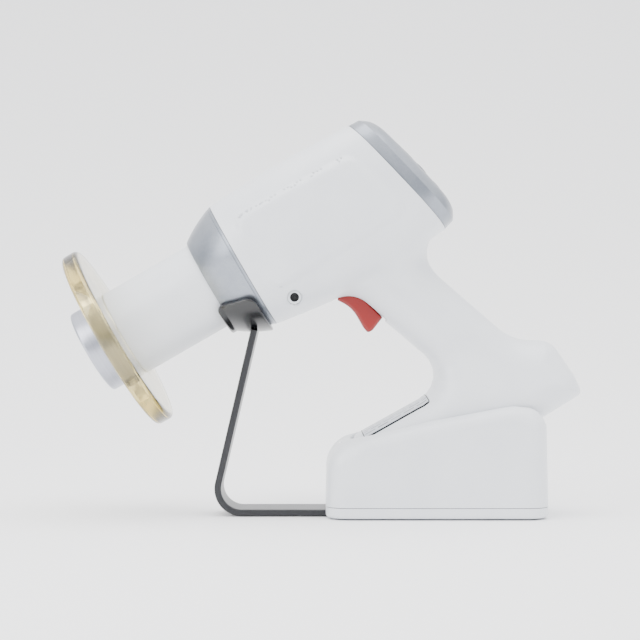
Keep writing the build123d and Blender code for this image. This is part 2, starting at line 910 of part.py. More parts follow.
with BuildPart() as dock_circuit_board:
    with BuildSketch(Plane.XY.offset(12)):
        with Locations((22, 0)):
            Rectangle(64, 46)
    extrude(amount=1.6)
    with BuildSketch(Plane.XY.offset(13.6)):
        with Locations((0, 12), (0, -12), (44, 10), (44, -10)):
            Rectangle(10, 8)
    extrude(amount=3)
finish(dock_circuit_board, "dock_circuit_board")

contact_travel = 1.0
block_top = pocket_floor - shell_wall
with BuildPart() as contact_block:
    with BuildSketch(Plane.XY.offset(13.6)):
        with Locations((20, 0)):
            Rectangle(14, 34)
    extrude(amount=block_top - 13.6)
    with BuildSketch(Plane.XY.offset(18)):
        with Locations(*pin_places):
            Circle(1.9)
    extrude(amount=20, mode=Mode.SUBTRACT)
finish(contact_block, "contact_block")

for name, place in zip(("contact_pin_left", "contact_pin_right"), pin_places):
    with BuildPart() as contact_pin:
        with BuildSketch(Plane.XY.offset(18 + contact_travel + 0.5)):
            with Locations(place):
                Circle(1.6)
        extrude(amount=foot_bottom - 0.2 - 18 - contact_travel - 0.5)
        fillet(contact_pin.edges().sort_by(Axis.Z)[-1], 0.8)
    finish(contact_pin, name)

# ================= support strap and saddle =================

strap_corner_x = -168.1
strap_end = Vector(-136.2, 0, 139.6)
strap_middle = strap_bottom + strap_thickness / 2


def saddle_plane(turn):
    # a plane through the barrel's axis, turned about it from straight down
    outward = rise_dir.rotate(Axis((0, 0, 0), axis_dir), 180 + turn)
    return Plane(origin=seam_centre, x_dir=axis_dir, z_dir=axis_dir.cross(outward))


saddle_rear = -6.5
saddle_front = -33.5


def saddle_band(inner, outer, front, rear):
    # a shell between two grown copies of the collar's outline, wrapped under the collar
    with BuildPart() as band:
        with BuildSketch(saddle_plane(-saddle_wrap / 2)):
            with BuildLine():
                collar_arc(outer)
                Line((0, seam_radius + outer), (0, seam_radius + inner))
                collar_arc(inner)
                Line(
                    (-collar_length, collar_front_radius + inner),
                    (-collar_length, tube_radius + 1 + inner),
                )
                Line((-collar_length, tube_radius + 1 + inner), (front, tube_radius + 1 + inner))
                Line((front, tube_radius + 1 + inner), (front, collar_front_radius + outer - 0.5))
                Line(
                    (front, collar_front_radius + outer - 0.5),
                    (-collar_length, collar_front_radius + outer),
                )
            make_face()
            with Locations((rear + 50, 50)):
                Rectangle(100, 100, mode=Mode.SUBTRACT)
        revolve(axis=barrel_axis, revolution_arc=saddle_wrap)
    return band.part


with BuildPart() as saddle_liner:
    add(saddle_band(saddle_gap, saddle_gap + liner_thickness, saddle_front + 2, saddle_rear - 2))
finish(saddle_liner, "saddle_liner")

with BuildPart() as saddle:
    add(
        saddle_band(
            saddle_gap + 0.2, saddle_gap + liner_thickness + saddle_thickness, saddle_front, saddle_rear
        )
    )
    add(saddle_liner.part, mode=Mode.SUBTRACT)
finish(saddle, "saddle")

with BuildPart() as support_strap:
    with BuildLine(Plane.XZ):
        strap_path = FilletPolyline(
            (strap_tail, strap_middle),
            (strap_corner_x, strap_middle),
            (strap_end.X, strap_end.Z),
            radius=strap_bend,
        )
    with BuildSketch(Plane(origin=strap_path @ 0, x_dir=(0, 1, 0), z_dir=strap_path % 0)):
        Rectangle(strap_width, strap_thickness)
    sweep(path=strap_path)
    add(saddle.part, mode=Mode.SUBTRACT)
    with BuildSketch(Plane.XY):
        with Locations((-24, 0), (-60, 0)):
            Circle(2.1)
    extrude(amount=strap_top, mode=Mode.SUBTRACT)
finish(support_strap, "support_strap")

with BuildPart() as strap_screws:
    with BuildSketch(Plane.XY.offset(strap_bottom + 0.6)):
        with Locations((-24, 0), (-60, 0)):
            Circle(2.1)
    extrude(amount=strap_thickness - 0.6)
finish(strap_screws, "strap_screws")

with BuildPart() as strap_pads:
    with BuildSketch():
        with Locations((-112, 0), (-138, 0)):
            RectangleRounded(12, 34, 2)
    extrude(amount=strap_bottom)
finish(strap_pads, "strap_pads")
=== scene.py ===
import json
from itertools import product

import bmesh
import bpy
import numpy as np
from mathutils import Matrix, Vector


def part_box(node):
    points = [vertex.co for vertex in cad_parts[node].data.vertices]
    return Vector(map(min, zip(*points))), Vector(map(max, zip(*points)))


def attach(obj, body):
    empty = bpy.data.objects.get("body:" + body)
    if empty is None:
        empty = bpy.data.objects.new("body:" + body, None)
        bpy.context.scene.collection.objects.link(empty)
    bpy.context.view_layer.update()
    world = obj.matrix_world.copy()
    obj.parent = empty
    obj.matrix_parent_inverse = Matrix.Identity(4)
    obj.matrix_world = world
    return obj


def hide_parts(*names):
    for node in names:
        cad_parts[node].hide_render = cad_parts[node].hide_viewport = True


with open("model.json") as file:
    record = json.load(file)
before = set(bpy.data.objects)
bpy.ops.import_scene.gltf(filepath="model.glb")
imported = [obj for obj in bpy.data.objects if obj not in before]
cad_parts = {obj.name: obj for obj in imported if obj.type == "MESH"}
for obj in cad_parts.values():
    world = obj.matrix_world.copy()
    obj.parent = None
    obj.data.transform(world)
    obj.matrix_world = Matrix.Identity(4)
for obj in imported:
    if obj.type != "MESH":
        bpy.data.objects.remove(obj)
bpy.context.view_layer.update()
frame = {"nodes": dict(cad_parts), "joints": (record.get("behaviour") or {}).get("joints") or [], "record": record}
print("stage: the packed frame is loaded")

# Everything below is worked out in millimetres and put into the meshes in metres.
mounts = {mount["name"]: mount for mount in frame["record"]["mounts"]}
joints = {joint["name"]: joint for joint in frame["joints"]}
barrelAxis = -np.array(joints["shield_slide"]["axis"], float)  # from the tip to the rear
barrelAxis /= np.linalg.norm(barrelAxis)
barrelRise = np.array([-barrelAxis[2], 0.0, barrelAxis[0]])
acrossAxis = np.array([0.0, 1.0, 0.0])
windowToSeam = 127.8  # from the aperture window's middle to the seam between collar and housing
rearLean = np.radians(13.5)  # the rear face leans this much more than square to the barrel
rearNormal = barrelAxis * np.cos(rearLean) + barrelRise * np.sin(rearLean)
rearUp = barrelRise * np.cos(rearLean) - barrelAxis * np.sin(rearLean)
wall = 2.6


def boxMm(node):
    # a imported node's box in millimetres
    low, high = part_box(node)
    return np.array(low) * 1000, np.array(high) * 1000


def middleMm(node):
    return sum(boxMm(node)) / 2


seamCentre = middleMm("aperture_window") + barrelAxis * windowToSeam
rearCentre = seamCentre + barrelAxis * 132.8 - barrelRise * 0.6


def rearPoints(depth, across, height):
    # the centre of the rear seam, plus steps out of the face, across it and up it
    return (rearCentre + np.asarray(depth)[..., None] * rearNormal
            + np.asarray(across)[..., None] * acrossAxis + np.asarray(height)[..., None] * rearUp)


def gridFaces(rows, columns, wrapRows=False, wrapColumns=True):
    # the quads between neighbouring points of a grid, row by row
    row, column = np.meshgrid(np.arange(rows - (not wrapRows)),
                              np.arange(columns - (not wrapColumns)), indexing="ij")
    nextRow, nextColumn = (row + 1) % rows, (column + 1) % columns
    corners = (row * columns + column, row * columns + nextColumn,
               nextRow * columns + nextColumn, nextRow * columns + column)
    return np.stack(corners, -1).reshape(-1, 4)


def facingOut(points, faces):
    # the sum of the tetrahedra from the origin is the volume; a negative one means inside out
    volume = 0.0
    for face in (np.array([f for f in faces if len(f) == n]) for n in (3, 4)):
        if len(face):
            for step in range(1, face.shape[1] - 1):
                a, b, c = points[face[:, 0]], points[face[:, step]], points[face[:, step + 1]]
                volume += np.einsum("ij,ij->", a, np.cross(b, c))
    return [f[::-1] for f in faces] if volume < 0 else faces


def makePiece(name, points, faces, body, slot, material, hides=(), sharp=40, uv=None):
    # points in mm and faces become one smooth-shaded mesh in metres, ridden on its body
    points = np.asarray(points, float).reshape(-1, 3)
    faces = facingOut(points - points.mean(0), [list(f) for f in faces])
    mesh = bpy.data.meshes.new(name)
    mesh.from_pydata((points / 1000).tolist(), [], faces)
    mesh.polygons.foreach_set("use_smooth", np.ones(len(mesh.polygons), bool))
    mesh.set_sharp_from_angle(angle=np.radians(sharp))
    if uv is not None:
        layer = mesh.uv_layers.new(name="surfaceMm")
        order = np.zeros(len(mesh.loops), int)
        mesh.loops.foreach_get("vertex_index", order)
        layer.data.foreach_set("uv", np.asarray(uv, float)[order].ravel())
    mesh.validate()
    piece = bpy.data.objects.new(name, mesh)
    bpy.context.scene.collection.objects.link(piece)
    mesh.materials.append(material)
    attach(piece, body)
    if hides:
        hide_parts(*hides)
    return piece


def ringPiece(name, rings, **details):
    # rings of points, each closed on itself, joined in order, with a fan of triangles on each end
    rings = np.asarray(rings, float)
    count, around = rings.shape[:2]
    points = np.vstack([rings.reshape(-1, 3), rings[0].mean(0), rings[-1].mean(0)])
    faces = gridFaces(count, around).tolist()
    for edge, centre in ((0, count * around), ((count - 1) * around, count * around + 1)):
        step = np.arange(around)
        fan = np.stack([edge + (step + 1) % around, edge + step, np.full(around, centre)], -1)
        faces += (fan if edge == 0 else fan[:, ::-1]).tolist()
    return makePiece(name, points, faces, **details)


def revolved(name, profile, around=192, origin=None, axis=None, up=None, **details):
    # a closed profile of (along, radius) turned about an axis: centre + along * axis
    # + radius * (cos(turn) * up + sin(turn) * side)
    origin = seamCentre if origin is None else origin
    axis = barrelAxis if axis is None else axis
    up = barrelRise if up is None else up
    side = np.cross(axis, up)
    profile = np.asarray(profile, float)
    turn = np.linspace(0, 2 * np.pi, around, endpoint=False)
    outward = np.cos(turn)[:, None] * up + np.sin(turn)[:, None] * side
    points = origin + profile[:, None, :1] * axis + profile[:, None, 1:] * outward
    faces = gridFaces(len(profile), around, wrapRows=True)
    return makePiece(name, points, faces, **details)


def roundedOutline(corners, steps=7):
    # a polygon of (x, y, radius) whose corners are arcs that touch both sides
    corners = np.asarray(corners, float)
    places, radii = corners[:, :2], corners[:, 2]
    outline = []
    sides = zip(places, radii, np.roll(places, 1, 0), np.roll(places, -1, 0))
    for place, radius, before, after in sides:
        back = (before - place) / np.linalg.norm(before - place)
        ahead = (after - place) / np.linalg.norm(after - place)
        half = np.arccos(np.clip(back @ ahead, -1, 1)) / 2
        if radius <= 0 or half > 1.56:
            outline.append(place[None])
            continue
        middle = place + (back + ahead) / np.linalg.norm(back + ahead) * radius / np.sin(half)
        first = place + back * radius / np.tan(half) - middle
        last = place + ahead * radius / np.tan(half) - middle
        sweep = np.arctan2(first[0] * last[1] - first[1] * last[0], first @ last)
        angle = np.arctan2(first[1], first[0]) + np.linspace(0, sweep, steps)
        outline.append(middle + radius * np.stack([np.cos(angle), np.sin(angle)], -1))
    return np.vstack(outline)


def roundedRectangle(halfWidth, halfHeight, corner, steps=7):
    # a rectangle about the middle whose four corners are arcs
    w, h = halfWidth, halfHeight
    return roundedOutline([(-w, -h, corner), (w, -h, corner), (w, h, corner), (-w, h, corner)], steps)


def outlineNormals(outline):
    # the outward direction at each point of a closed outline, from its two neighbours
    along = np.roll(outline, -1, 0) - np.roll(outline, 1, 0)
    along /= np.linalg.norm(along, axis=1)[:, None]
    area = np.sum(outline[:, 0] * np.roll(outline[:, 1], -1) - np.roll(outline[:, 0], -1) * outline[:, 1])
    return np.stack([along[:, 1], -along[:, 0]], -1) * np.sign(area)


def polygonDistance(x, y, outline):
    # a field is negative inside, and near its surface it is about the distance to it
    # the distance to the nearest side, negative where a ray to the right crosses an odd number of sides
    best = np.full(np.broadcast(x, y).shape, 1e9)
    inside = np.zeros(best.shape, bool)
    for (ax, ay), (bx, by) in zip(outline, np.roll(outline, -1, 0)):
        dx, dy = bx - ax, by - ay
        px, py = x - ax, y - ay
        share = np.clip((px * dx + py * dy) / (dx * dx + dy * dy), 0, 1)
        best = np.minimum(best, (px - share * dx) ** 2 + (py - share * dy) ** 2)
        if ay != by:
            crossing = (ay > y) != (by > y)
            inside ^= crossing & (x < dx * (y - ay) / dy + ax)
    return np.where(inside, -1, 1) * np.sqrt(best)


def smoothTable(x, places, values):
    # a curve through the listed values with an even slope at each, held level beyond the ends
    places, values = np.asarray(places, float), np.asarray(values, float)
    slopes = np.gradient(values, places)
    x = np.clip(x, places[0], places[-1])
    i = np.clip(np.searchsorted(places, x) - 1, 0, len(places) - 2)
    gap = places[i + 1] - places[i]
    t = (x - places[i]) / gap
    return ((2 * t ** 3 - 3 * t ** 2 + 1) * values[i] + (t ** 3 - 2 * t ** 2 + t) * gap * slopes[i]
            + (3 * t ** 2 - 2 * t ** 3) * values[i + 1] + (t ** 3 - t ** 2) * gap * slopes[i + 1])


def softStep(x):
    # three squares less two cubes of x, which runs evenly from 0 to 1
    x = np.clip(x, 0, 1)
    return x * x * (3 - 2 * x)


def softMin(a, b, reach):
    # the lower of two, less reach * share * (1 - share) round the place where they cross
    share = np.clip(0.5 + 0.5 * (b - a) / reach, 0, 1)
    return b + (a - b) * share - reach * share * (1 - share)


def softMax(a, b, reach):
    return -softMin(-a, -b, reach)


def roundMax(a, b, radius):
    # the corner where two surfaces meet, as an arc of that radius
    p, q = np.maximum(a + radius, 0), np.maximum(b + radius, 0)
    return np.sqrt(p * p + q * q) - radius + np.minimum(np.maximum(a, b) + radius, 0)


def fieldSurface(field, low, high, cell, passes=3):
    # one point in each cell that the surface crosses, at the mean of its crossed edges; one quad
    # round each crossed grid edge; then each point moves halfway to the middle of its neighbours
    # and back on to the surface along the field's gradient
    axes = [np.arange(low[i], high[i] + cell, cell) for i in range(3)]
    x, y, z = axes[0][:, None, None], axes[1][None, :, None], axes[2][None, None, :]
    values = field(x, y, z)
    inside = values < 0
    shape = np.array(values.shape)
    count = sum(inside[i:shape[0] - 1 + i, j:shape[1] - 1 + j, k:shape[2] - 1 + k].astype(np.int8)
                for i, j, k in product((0, 1), repeat=3))
    cells = np.argwhere((count > 0) & (count < 8))
    index = np.full(shape - 1, -1)
    index[tuple(cells.T)] = np.arange(len(cells))
    total, crossed = np.zeros((len(cells), 3)), np.zeros(len(cells))
    for axis in range(3):
        step = np.eye(3, dtype=int)[axis]
        others = [np.eye(3, dtype=int)[other] for other in range(3) if other != axis]
        for i, j in product((0, 1), repeat=2):
            corner = i * others[0] + j * others[1]
            a = values[tuple((cells + corner).T)]
            b = values[tuple((cells + corner + step).T)]
            cut = (a < 0) != (b < 0)
            share = np.where(cut, a / np.where(cut, a - b, 1), 0)
            total += cut[:, None] * (corner + share[:, None] * step)
            crossed += cut
    faces = []
    for axis in range(3):
        p, q = (axis + 1) % 3, (axis + 2) % 3
        step = np.eye(3, dtype=int)
        start = [slice(None)] * 3
        end = [slice(None)] * 3
        start[axis], end[axis] = slice(0, -1), slice(1, None)
        change = inside[tuple(start)] != inside[tuple(end)]
        nodes = np.argwhere(change)
        across = nodes[:, [p, q]]
        nodes = nodes[np.all((across > 0) & (across < shape[[p, q]] - 1), axis=1)]
        quad = np.stack([index[tuple((nodes - step[p] * i - step[q] * j).T)]
                         for i, j in ((1, 1), (0, 1), (0, 0), (1, 0))], -1)
        solid = inside[tuple(nodes.T)]
        faces.append(np.where(solid[:, None], quad, quad[:, ::-1]))
    faces = np.vstack(faces)
    points = np.asarray(low) + cell * (cells + total / crossed[:, None])
    for _ in range(passes):
        beside = np.zeros_like(points)
        met = np.zeros(len(points))
        for corner in range(4):
            for step in (1, 3):
                np.add.at(beside, faces[:, corner], points[faces[:, (corner + step) % 4]])
                np.add.at(met, faces[:, corner], 1)
        points = points + 0.5 * (beside / np.maximum(met, 1)[:, None] - points) * (met > 5)[:, None]
        here = field(*points.T)
        slope = np.stack([field(*(points + 0.05 * step).T) - here for step in np.eye(3)], -1) / 0.05
        move = -here[:, None] * slope / np.maximum(np.sum(slope ** 2, 1), 0.2)[:, None]
        points = points + np.clip(move, -cell / 2, cell / 2)
    return points, faces


def cutMesh(points, faces, cuts):
    # each cut is (place, outward direction): what lies beyond is dropped and the cut is capped
    work = bmesh.new()
    mesh = bpy.data.meshes.new("cutting")
    mesh.from_pydata(points.tolist(), [], faces.tolist())
    work.from_mesh(mesh)
    bpy.data.meshes.remove(mesh)
    for place, outward in cuts:
        everything = work.verts[:] + work.edges[:] + work.faces[:]
        made = bmesh.ops.bisect_plane(work, geom=everything, dist=1e-4, plane_co=list(place),
                                      plane_no=list(outward), clear_outer=True)
        rim = [e for e in made["geom_cut"] if isinstance(e, bmesh.types.BMEdge) and e.is_boundary]
        bmesh.ops.triangle_fill(work, edges=rim, use_beauty=True, normal=list(outward))
    work.verts.index_update()
    points = np.array([vertex.co[:] for vertex in work.verts])
    faces = [[vertex.index for vertex in face.verts] for face in work.faces]
    work.free()
    return points, faces

print("stage: helpers are ready")


def linear(hexColour):
    # sRGB hex to the linear colour that the shader wants
    parts = [int(hexColour[i:i + 2], 16) / 255 for i in (1, 3, 5)]
    return tuple(c / 12.92 if c <= 0.04045 else ((c + 0.055) / 1.055) ** 2.4 for c in parts) + (1.0,)


def addNode(tree, kind, settings=None, links=None, into=None):
    # a node with its settings (a socket's value, a property or a ramp's stops), the links into it,
    # and the socket that its first output goes to
    node = tree.nodes.new("ShaderNode" + kind)
    for name, value in (settings or {}).items():
        if name == "stops":
            while len(node.color_ramp.elements) < len(value):
                node.color_ramp.elements.new(0.5)
            for element, (place, colour) in zip(node.color_ramp.elements, value):
                element.position, element.color = place, linear(colour)
        elif isinstance(name, int) or name in node.inputs:
            node.inputs[name].default_value = value
        else:
            setattr(node, name, value)
    for name, source in (links or {}).items():
        tree.links.new(source, node.inputs[name])
    if into is not None:
        tree.links.new(node.outputs[0], into)
    return node


def newMaterial(name, **surfaceValues):
    # a Principled surface's inputs, and the object coordinates that its patterns read; a pattern's
    # scale is 1000 over the size of its features in mm
    material = bpy.data.materials.new(name)
    material.use_nodes = True
    tree = material.node_tree
    tree.nodes.clear()
    shader = addNode(tree, "BsdfPrincipled")
    for socket, value in surfaceValues.items():
        shader.inputs[socket.replace("_", " ")].default_value = value
    addNode(tree, "OutputMaterial", links={"Surface": shader.outputs["BSDF"]})
    place = addNode(tree, "TexCoord").outputs["Object"]
    return material, tree, shader.inputs, place


def mouldedPlastic(name, light, dark, roughness, grainMm, depthMm, coat=0.0, subsurface=0.0):
    # injection-moulded ABS: a satin gloss over a faint spark-eroded grain, which is finer on the
    # real tool than it is drawn here, and a slow drift in gloss where the melt flowed
    material, tree, surface, place = newMaterial(name, IOR=1.53, Coat_Weight=coat, Coat_Roughness=0.12,
                                                 Subsurface_Weight=subsurface, Subsurface_Scale=0.0015)
    surface["Subsurface Radius"].default_value = (1.0, 0.9, 0.8)
    grain = addNode(tree, "TexNoise", {"Scale": 1000 / grainMm, "Detail": 4.0, "Roughness": 0.6},
                    {"Vector": place}).outputs[0]
    drift = addNode(tree, "TexNoise", {"Scale": 1000 / 42.0, "Detail": 2.0, "Roughness": 0.55},
                    {"Vector": place}).outputs[0]
    addNode(tree, "ValToRGB", {"stops": [(0.3, dark), (0.7, light)]}, {"Fac": drift}, surface["Base Color"])
    addNode(tree, "MapRange", {"To Min": roughness - 0.04, "To Max": roughness + 0.05},
            {"Value": drift}, surface["Roughness"])
    addNode(tree, "Bump", {"Strength": 1.0, "Distance": depthMm / 1000}, {"Height": grain}, surface["Normal"])
    return material


def silverLacquer(name, light, dark, roughness):
    # metallic lacquer on moulded plastic: aluminium flake under a satin clear coat, each flake
    # drawn at 0.5 mm where the real ones are a twentieth of that
    material, tree, surface, place = newMaterial(name, Metallic=0.88, Coat_Weight=0.25, Coat_Roughness=0.2)
    flake = addNode(tree, "TexVoronoi", {"Scale": 1000 / 0.5}, {"Vector": place}).outputs["Distance"]
    cloud = addNode(tree, "TexNoise", {"Scale": 1000 / 26.0, "Detail": 2.0, "Roughness": 0.55},
                    {"Vector": place}).outputs[0]
    mixed = addNode(tree, "Mix", {"data_type": "FLOAT", 0: 0.35}, {2: cloud, 3: flake}).outputs[0]
    addNode(tree, "ValToRGB", {"stops": [(0.25, dark), (0.75, light)]}, {"Fac": mixed}, surface["Base Color"])
    addNode(tree, "MapRange", {"To Min": roughness - 0.05, "To Max": roughness + 0.08},
            {"Value": flake}, surface["Roughness"])
    addNode(tree, "Bump", {"Strength": 1.0, "Distance": 0.012 / 1000}, {"Height": flake}, surface["Normal"])
    return material


def turnedMetal(name, light, dark, roughness, pitchMm, depthMm):
    # lathe-turned metal: rings round the barrel's axis, their pitch drawn wide enough to show
    material, tree, surface, place = newMaterial(name, Metallic=1.0)
    centred = addNode(tree, "VectorMath", {"operation": "DOT_PRODUCT", 1: barrelAxis}, {0: place})
    along = addNode(tree, "CombineXYZ", links={"X": centred.outputs["Value"]}).outputs[0]
    rings = addNode(tree, "TexNoise", {"Scale": 1000 / pitchMm, "Detail": 3.0, "Roughness": 0.7},
                    {"Vector": along}).outputs[0]
    addNode(tree, "ValToRGB", {"stops": [(0.3, dark), (0.7, light)]}, {"Fac": rings}, surface["Base Color"])
    addNode(tree, "MapRange", {"To Min": roughness - 0.06, "To Max": roughness + 0.08},
            {"Value": rings}, surface["Roughness"])
    addNode(tree, "Bump", {"Strength": 1.0, "Distance": depthMm / 1000}, {"Height": rings}, surface["Normal"])
    return material


def castAcrylic(name):
    # lead acrylic, cast and polished: clear and water-white across its thickness, straw yellow
    # where the eye looks a long way along the sheet
    material, tree, surface, place = newMaterial(name, Roughness=0.07, IOR=1.56, Transmission_Weight=1.0)
    surface["Base Color"].default_value = linear("#fdfbf0")
    ripple = addNode(tree, "TexNoise", {"Scale": 1000 / 30.0, "Detail": 1.0, "Roughness": 0.55},
                     {"Vector": place}).outputs[0]
    addNode(tree, "Bump", {"Strength": 1.0, "Distance": 0.08 / 1000}, {"Height": ripple}, surface["Normal"])
    addNode(tree, "VolumeAbsorption", {"Color": linear("#ebdc86"), "Density": 17.0},
            into=tree.nodes["Material Output"].inputs["Volume"])
    return material


def powderCoat(name, light, dark, roughness, grainMm, depthMm, coat=0.0):
    # baked powder coat: a fine even orange peel that breaks up the highlights
    material, tree, surface, place = newMaterial(name, IOR=1.5, Coat_Weight=coat, Coat_Roughness=0.15)
    peel = addNode(tree, "TexNoise", {"Scale": 1000 / grainMm, "Detail": 2.0, "Roughness": 0.55},
                   {"Vector": place}).outputs[0]
    addNode(tree, "ValToRGB", {"stops": [(0.3, dark), (0.7, light)]}, {"Fac": peel}, surface["Base Color"])
    addNode(tree, "MapRange", {"To Min": roughness - 0.05, "To Max": roughness + 0.06},
            {"Value": peel}, surface["Roughness"])
    addNode(tree, "Bump", {"Strength": 1.0, "Distance": depthMm / 1000}, {"Height": peel}, surface["Normal"])
    return material


def plainMetal(name, light, dark, roughness, grainMm):
    # rolled or drawn metal: a fine grain in tone and gloss
    material, tree, surface, place = newMaterial(name, Metallic=1.0)
    grain = addNode(tree, "TexNoise", {"Scale": 1000 / grainMm, "Detail": 4.0, "Roughness": 0.55},
                    {"Vector": place}).outputs[0]
    addNode(tree, "ValToRGB", {"stops": [(0.3, dark), (0.7, light)]}, {"Fac": grain}, surface["Base Color"])
    addNode(tree, "MapRange", {"To Min": roughness - 0.06, "To Max": roughness + 0.08},
            {"Value": grain}, surface["Roughness"])
    addNode(tree, "Bump", {"Strength": 1.0, "Distance": 0.01 / 1000}, {"Height": grain}, surface["Normal"])
    return material


def clearPlastic(name, colour, roughness, transmission, ior):
    # moulded clear plastic: a sharp reflection, with the odd faint wipe mark in its gloss
    material, tree, surface, place = newMaterial(name, IOR=ior, Transmission_Weight=transmission)
    surface["Base Color"].default_value = linear(colour)
    wipe = addNode(tree, "TexNoise", {"Scale": 1000 / 14.0, "Detail": 3.0, "Roughness": 0.55},
                   {"Vector": place}).outputs[0]
    addNode(tree, "MapRange", {"To Min": roughness, "To Max": roughness + 0.06}, {"Value": wipe},
            surface["Roughness"])
    return material


def displayGlass(name):
    # an unlit display behind hardened glass: near black, a hair lighter where the cell itself lies
    material, tree, surface, place = newMaterial(name, IOR=1.5, Coat_Weight=1.0, Coat_Roughness=0.03)
    flat = addNode(tree, "UVMap", {"uv_map": "surfaceMm"}).outputs[0]
    addNode(tree, "TexBrick", {
        "Color1": linear("#14181c"), "Color2": linear("#171c20"), "Mortar": linear("#0a0c0e"),
        "Scale": 1.0, "Mortar Size": 0.06, "Brick Width": 0.8, "Row Height": 0.8, "offset": 0.0,
    }, {"Vector": flat}, surface["Base Color"])
    wipe = addNode(tree, "TexNoise", {"Scale": 1000 / 12.0, "Detail": 3.0, "Roughness": 0.55},
                   {"Vector": place}).outputs[0]
    addNode(tree, "MapRange", {"To Min": 0.06, "To Max": 0.16}, {"Value": wipe}, surface["Roughness"])
    return material


def printedFoil(name, width, length):
    # a metallised polyester label: silver foil with a printed black frame and plain ruled bars
    material, tree, surface, place = newMaterial(name, Metallic=0.55, Roughness=0.35)
    flat = addNode(tree, "UVMap", {"uv_map": "surfaceMm"}).outputs[0]
    split = addNode(tree, "SeparateXYZ", links={"Vector": flat})
    lines = []
    for socket, half, line in (("X", length / 2, 0.7), ("Y", width / 2, 1.2)):
        far = addNode(tree, "Math", {"operation": "ABSOLUTE"}, {0: split.outputs[socket]}).outputs[0]
        past = addNode(tree, "Math", {"operation": "GREATER_THAN", 1: half - line}, {0: far})
        lines.append(past.outputs[0])
    frameLine = addNode(tree, "Math", {"operation": "MAXIMUM"}, {0: lines[0], 1: lines[1]}).outputs[0]
    bars = addNode(tree, "TexBrick", {
        "Color1": (1, 1, 1, 1), "Color2": (0.55, 0.55, 0.55, 1), "Mortar": (0, 0, 0, 1), "Scale": 1.0,
        "Mortar Size": 1.15, "Mortar Smooth": 0.0, "Brick Width": 11.0, "Row Height": 3.4,
    }, {"Vector": flat}).outputs[0]
    ink = addNode(tree, "Math", {"operation": "MULTIPLY", 1: 0.6}, {0: bars}).outputs[0]
    printed = addNode(tree, "Math", {"operation": "MAXIMUM"}, {0: frameLine, 1: ink}).outputs[0]
    addNode(tree, "ValToRGB", {"stops": [(0.1, "#d2d5da"), (0.5, "#8d929a"), (0.9, "#1b1d20")]},
            {"Fac": printed}, surface["Base Color"])
    brushed = addNode(tree, "TexNoise", {"Scale": 1000 / 0.8, "Detail": 2.0, "Roughness": 0.55},
                      {"Vector": place}).outputs[0]
    addNode(tree, "Bump", {"Strength": 1.0, "Distance": 0.01 / 1000}, {"Height": brushed}, surface["Normal"])
    return material


materials = {
    "white_housing": mouldedPlastic("mouldedAbsWhite", "#dfe2e6", "#d9dce1", 0.3, 0.9, 0.012, 0.1, 0.03),
    "silver_trim": silverLacquer("silverFlakeLacquer", "#999ea7", "#7a8089", 0.3),
    "satin_aluminium": turnedMetal("turnedAluminium", "#c3c5cf", "#989ba6", 0.3, 0.7, 0.03),
    "lead_acrylic": castAcrylic("castLeadAcrylic"),
    "red_plastic": mouldedPlastic("mouldedAbsRed", "#860700", "#760500", 0.33, 0.8, 0.015, 0.15),
    "black_strap": powderCoat("powderCoatedSteelGraphite", "#1d1e22", "#141518", 0.34, 0.9, 0.03),
    "black_plastic": mouldedPlastic("mouldedAbsBlack", "#101114", "#0b0c0e", 0.24, 0.8, 0.01, 0.2),
    "grey_rubber": powderCoat("mouldedNitrileRubber", "#4a4c50", "#3c3e42", 0.7, 0.8, 0.04),
    "panel_silver": silverLacquer("silverPanelLacquer", "#989da6", "#7c828c", 0.36),
    "key_grey": mouldedPlastic("mouldedSiliconeGrey", "#e7e9ec", "#dfe1e5", 0.42, 0.7, 0.015),
    "screen_glass": displayGlass("unlitDisplayGlass"),
    "indicator_clear": clearPlastic("mouldedPolycarbonateClear", "#e4ecf2", 0.12, 0.75, 1.58),
    "jack_white": mouldedPlastic("mouldedNylonPale", "#dcdfe3", "#d2d6da", 0.4, 0.7, 0.012),
    "label_foil": printedFoil("printedFoilLabel", 46.0, 56.0),
    "steel": plainMetal("zincPlatedSteel", "#c6c8cc", "#a4a7ac", 0.34, 0.8),
    "lead": plainMetal("rolledLead", "#8a8d92", "#70737a", 0.55, 1.4),
    "copper": plainMetal("goldPlatedBrass", "#e0b566", "#c99a4c", 0.28, 0.8),
    "board_green": powderCoat("solderMaskGreen", "#1f5a38", "#18492d", 0.35, 1.2, 0.02, 0.4),
    "cell_wrap": powderCoat("shrinkWrapBlue", "#2c5d8c", "#244f78", 0.3, 4.0, 0.03, 0.3),
}
# near-black rubber: the key seals and the dock's gasket are real rubber, but drawn far darker than their own grey,
# as painted shade in the narrow gaps they fill
gapShadeRubber = powderCoat("rubberDarkenedAsGapShade", "#141518", "#0e0f11", 0.8, 0.8, 0.02)
nodeSlots = {part["node"]: part["material_slot"] for part in frame["record"]["subparts"]}
print("stage: materials are ready")

housing = {
    "cell": 1.35,                 # spacing of the mesh in mm
    "padRaise": 3.0,              # how far the side pads stand out at the rear
    "padBevel": 7.0,
    "padReach": 50.9,
    "blendBehind": 30.0,          # the soft joint of grip and barrel, behind and in front
    "blendFront": 14.0,
    "footCrown": 24.0,            # rounding along the foot and the grip
    "gripCrown": 20.5,
    "gripSlimFrom": 80.0, "gripSlimOver": 52.0,  # where the foot's width turns into the grip's
    "footHalfWidth": 33.0, "gripHalfWidth": 22.0,
    "jackHole": 5.1, "screwHole": 2.9,
    "seamGap": 0.12,
}
stations = (0, 25, 60, 120, 165)
barrelHalfWidth = (51.1, 50.6, 49.6, 48.0, 47.2)
barrelTop = (51.1, 52.6, 53.4, 51.2, 49.5)
barrelBottom = (-51.1, -54.8, -58.3, -55.0, -51.6)
barrelSquareness = (2.0, 2.3, 2.7, 3.0, 3.0)
padInner = np.array([(20, 22), (20, -21), (114.5, -19), (101.5, 20)], float)
padRound = 12.0
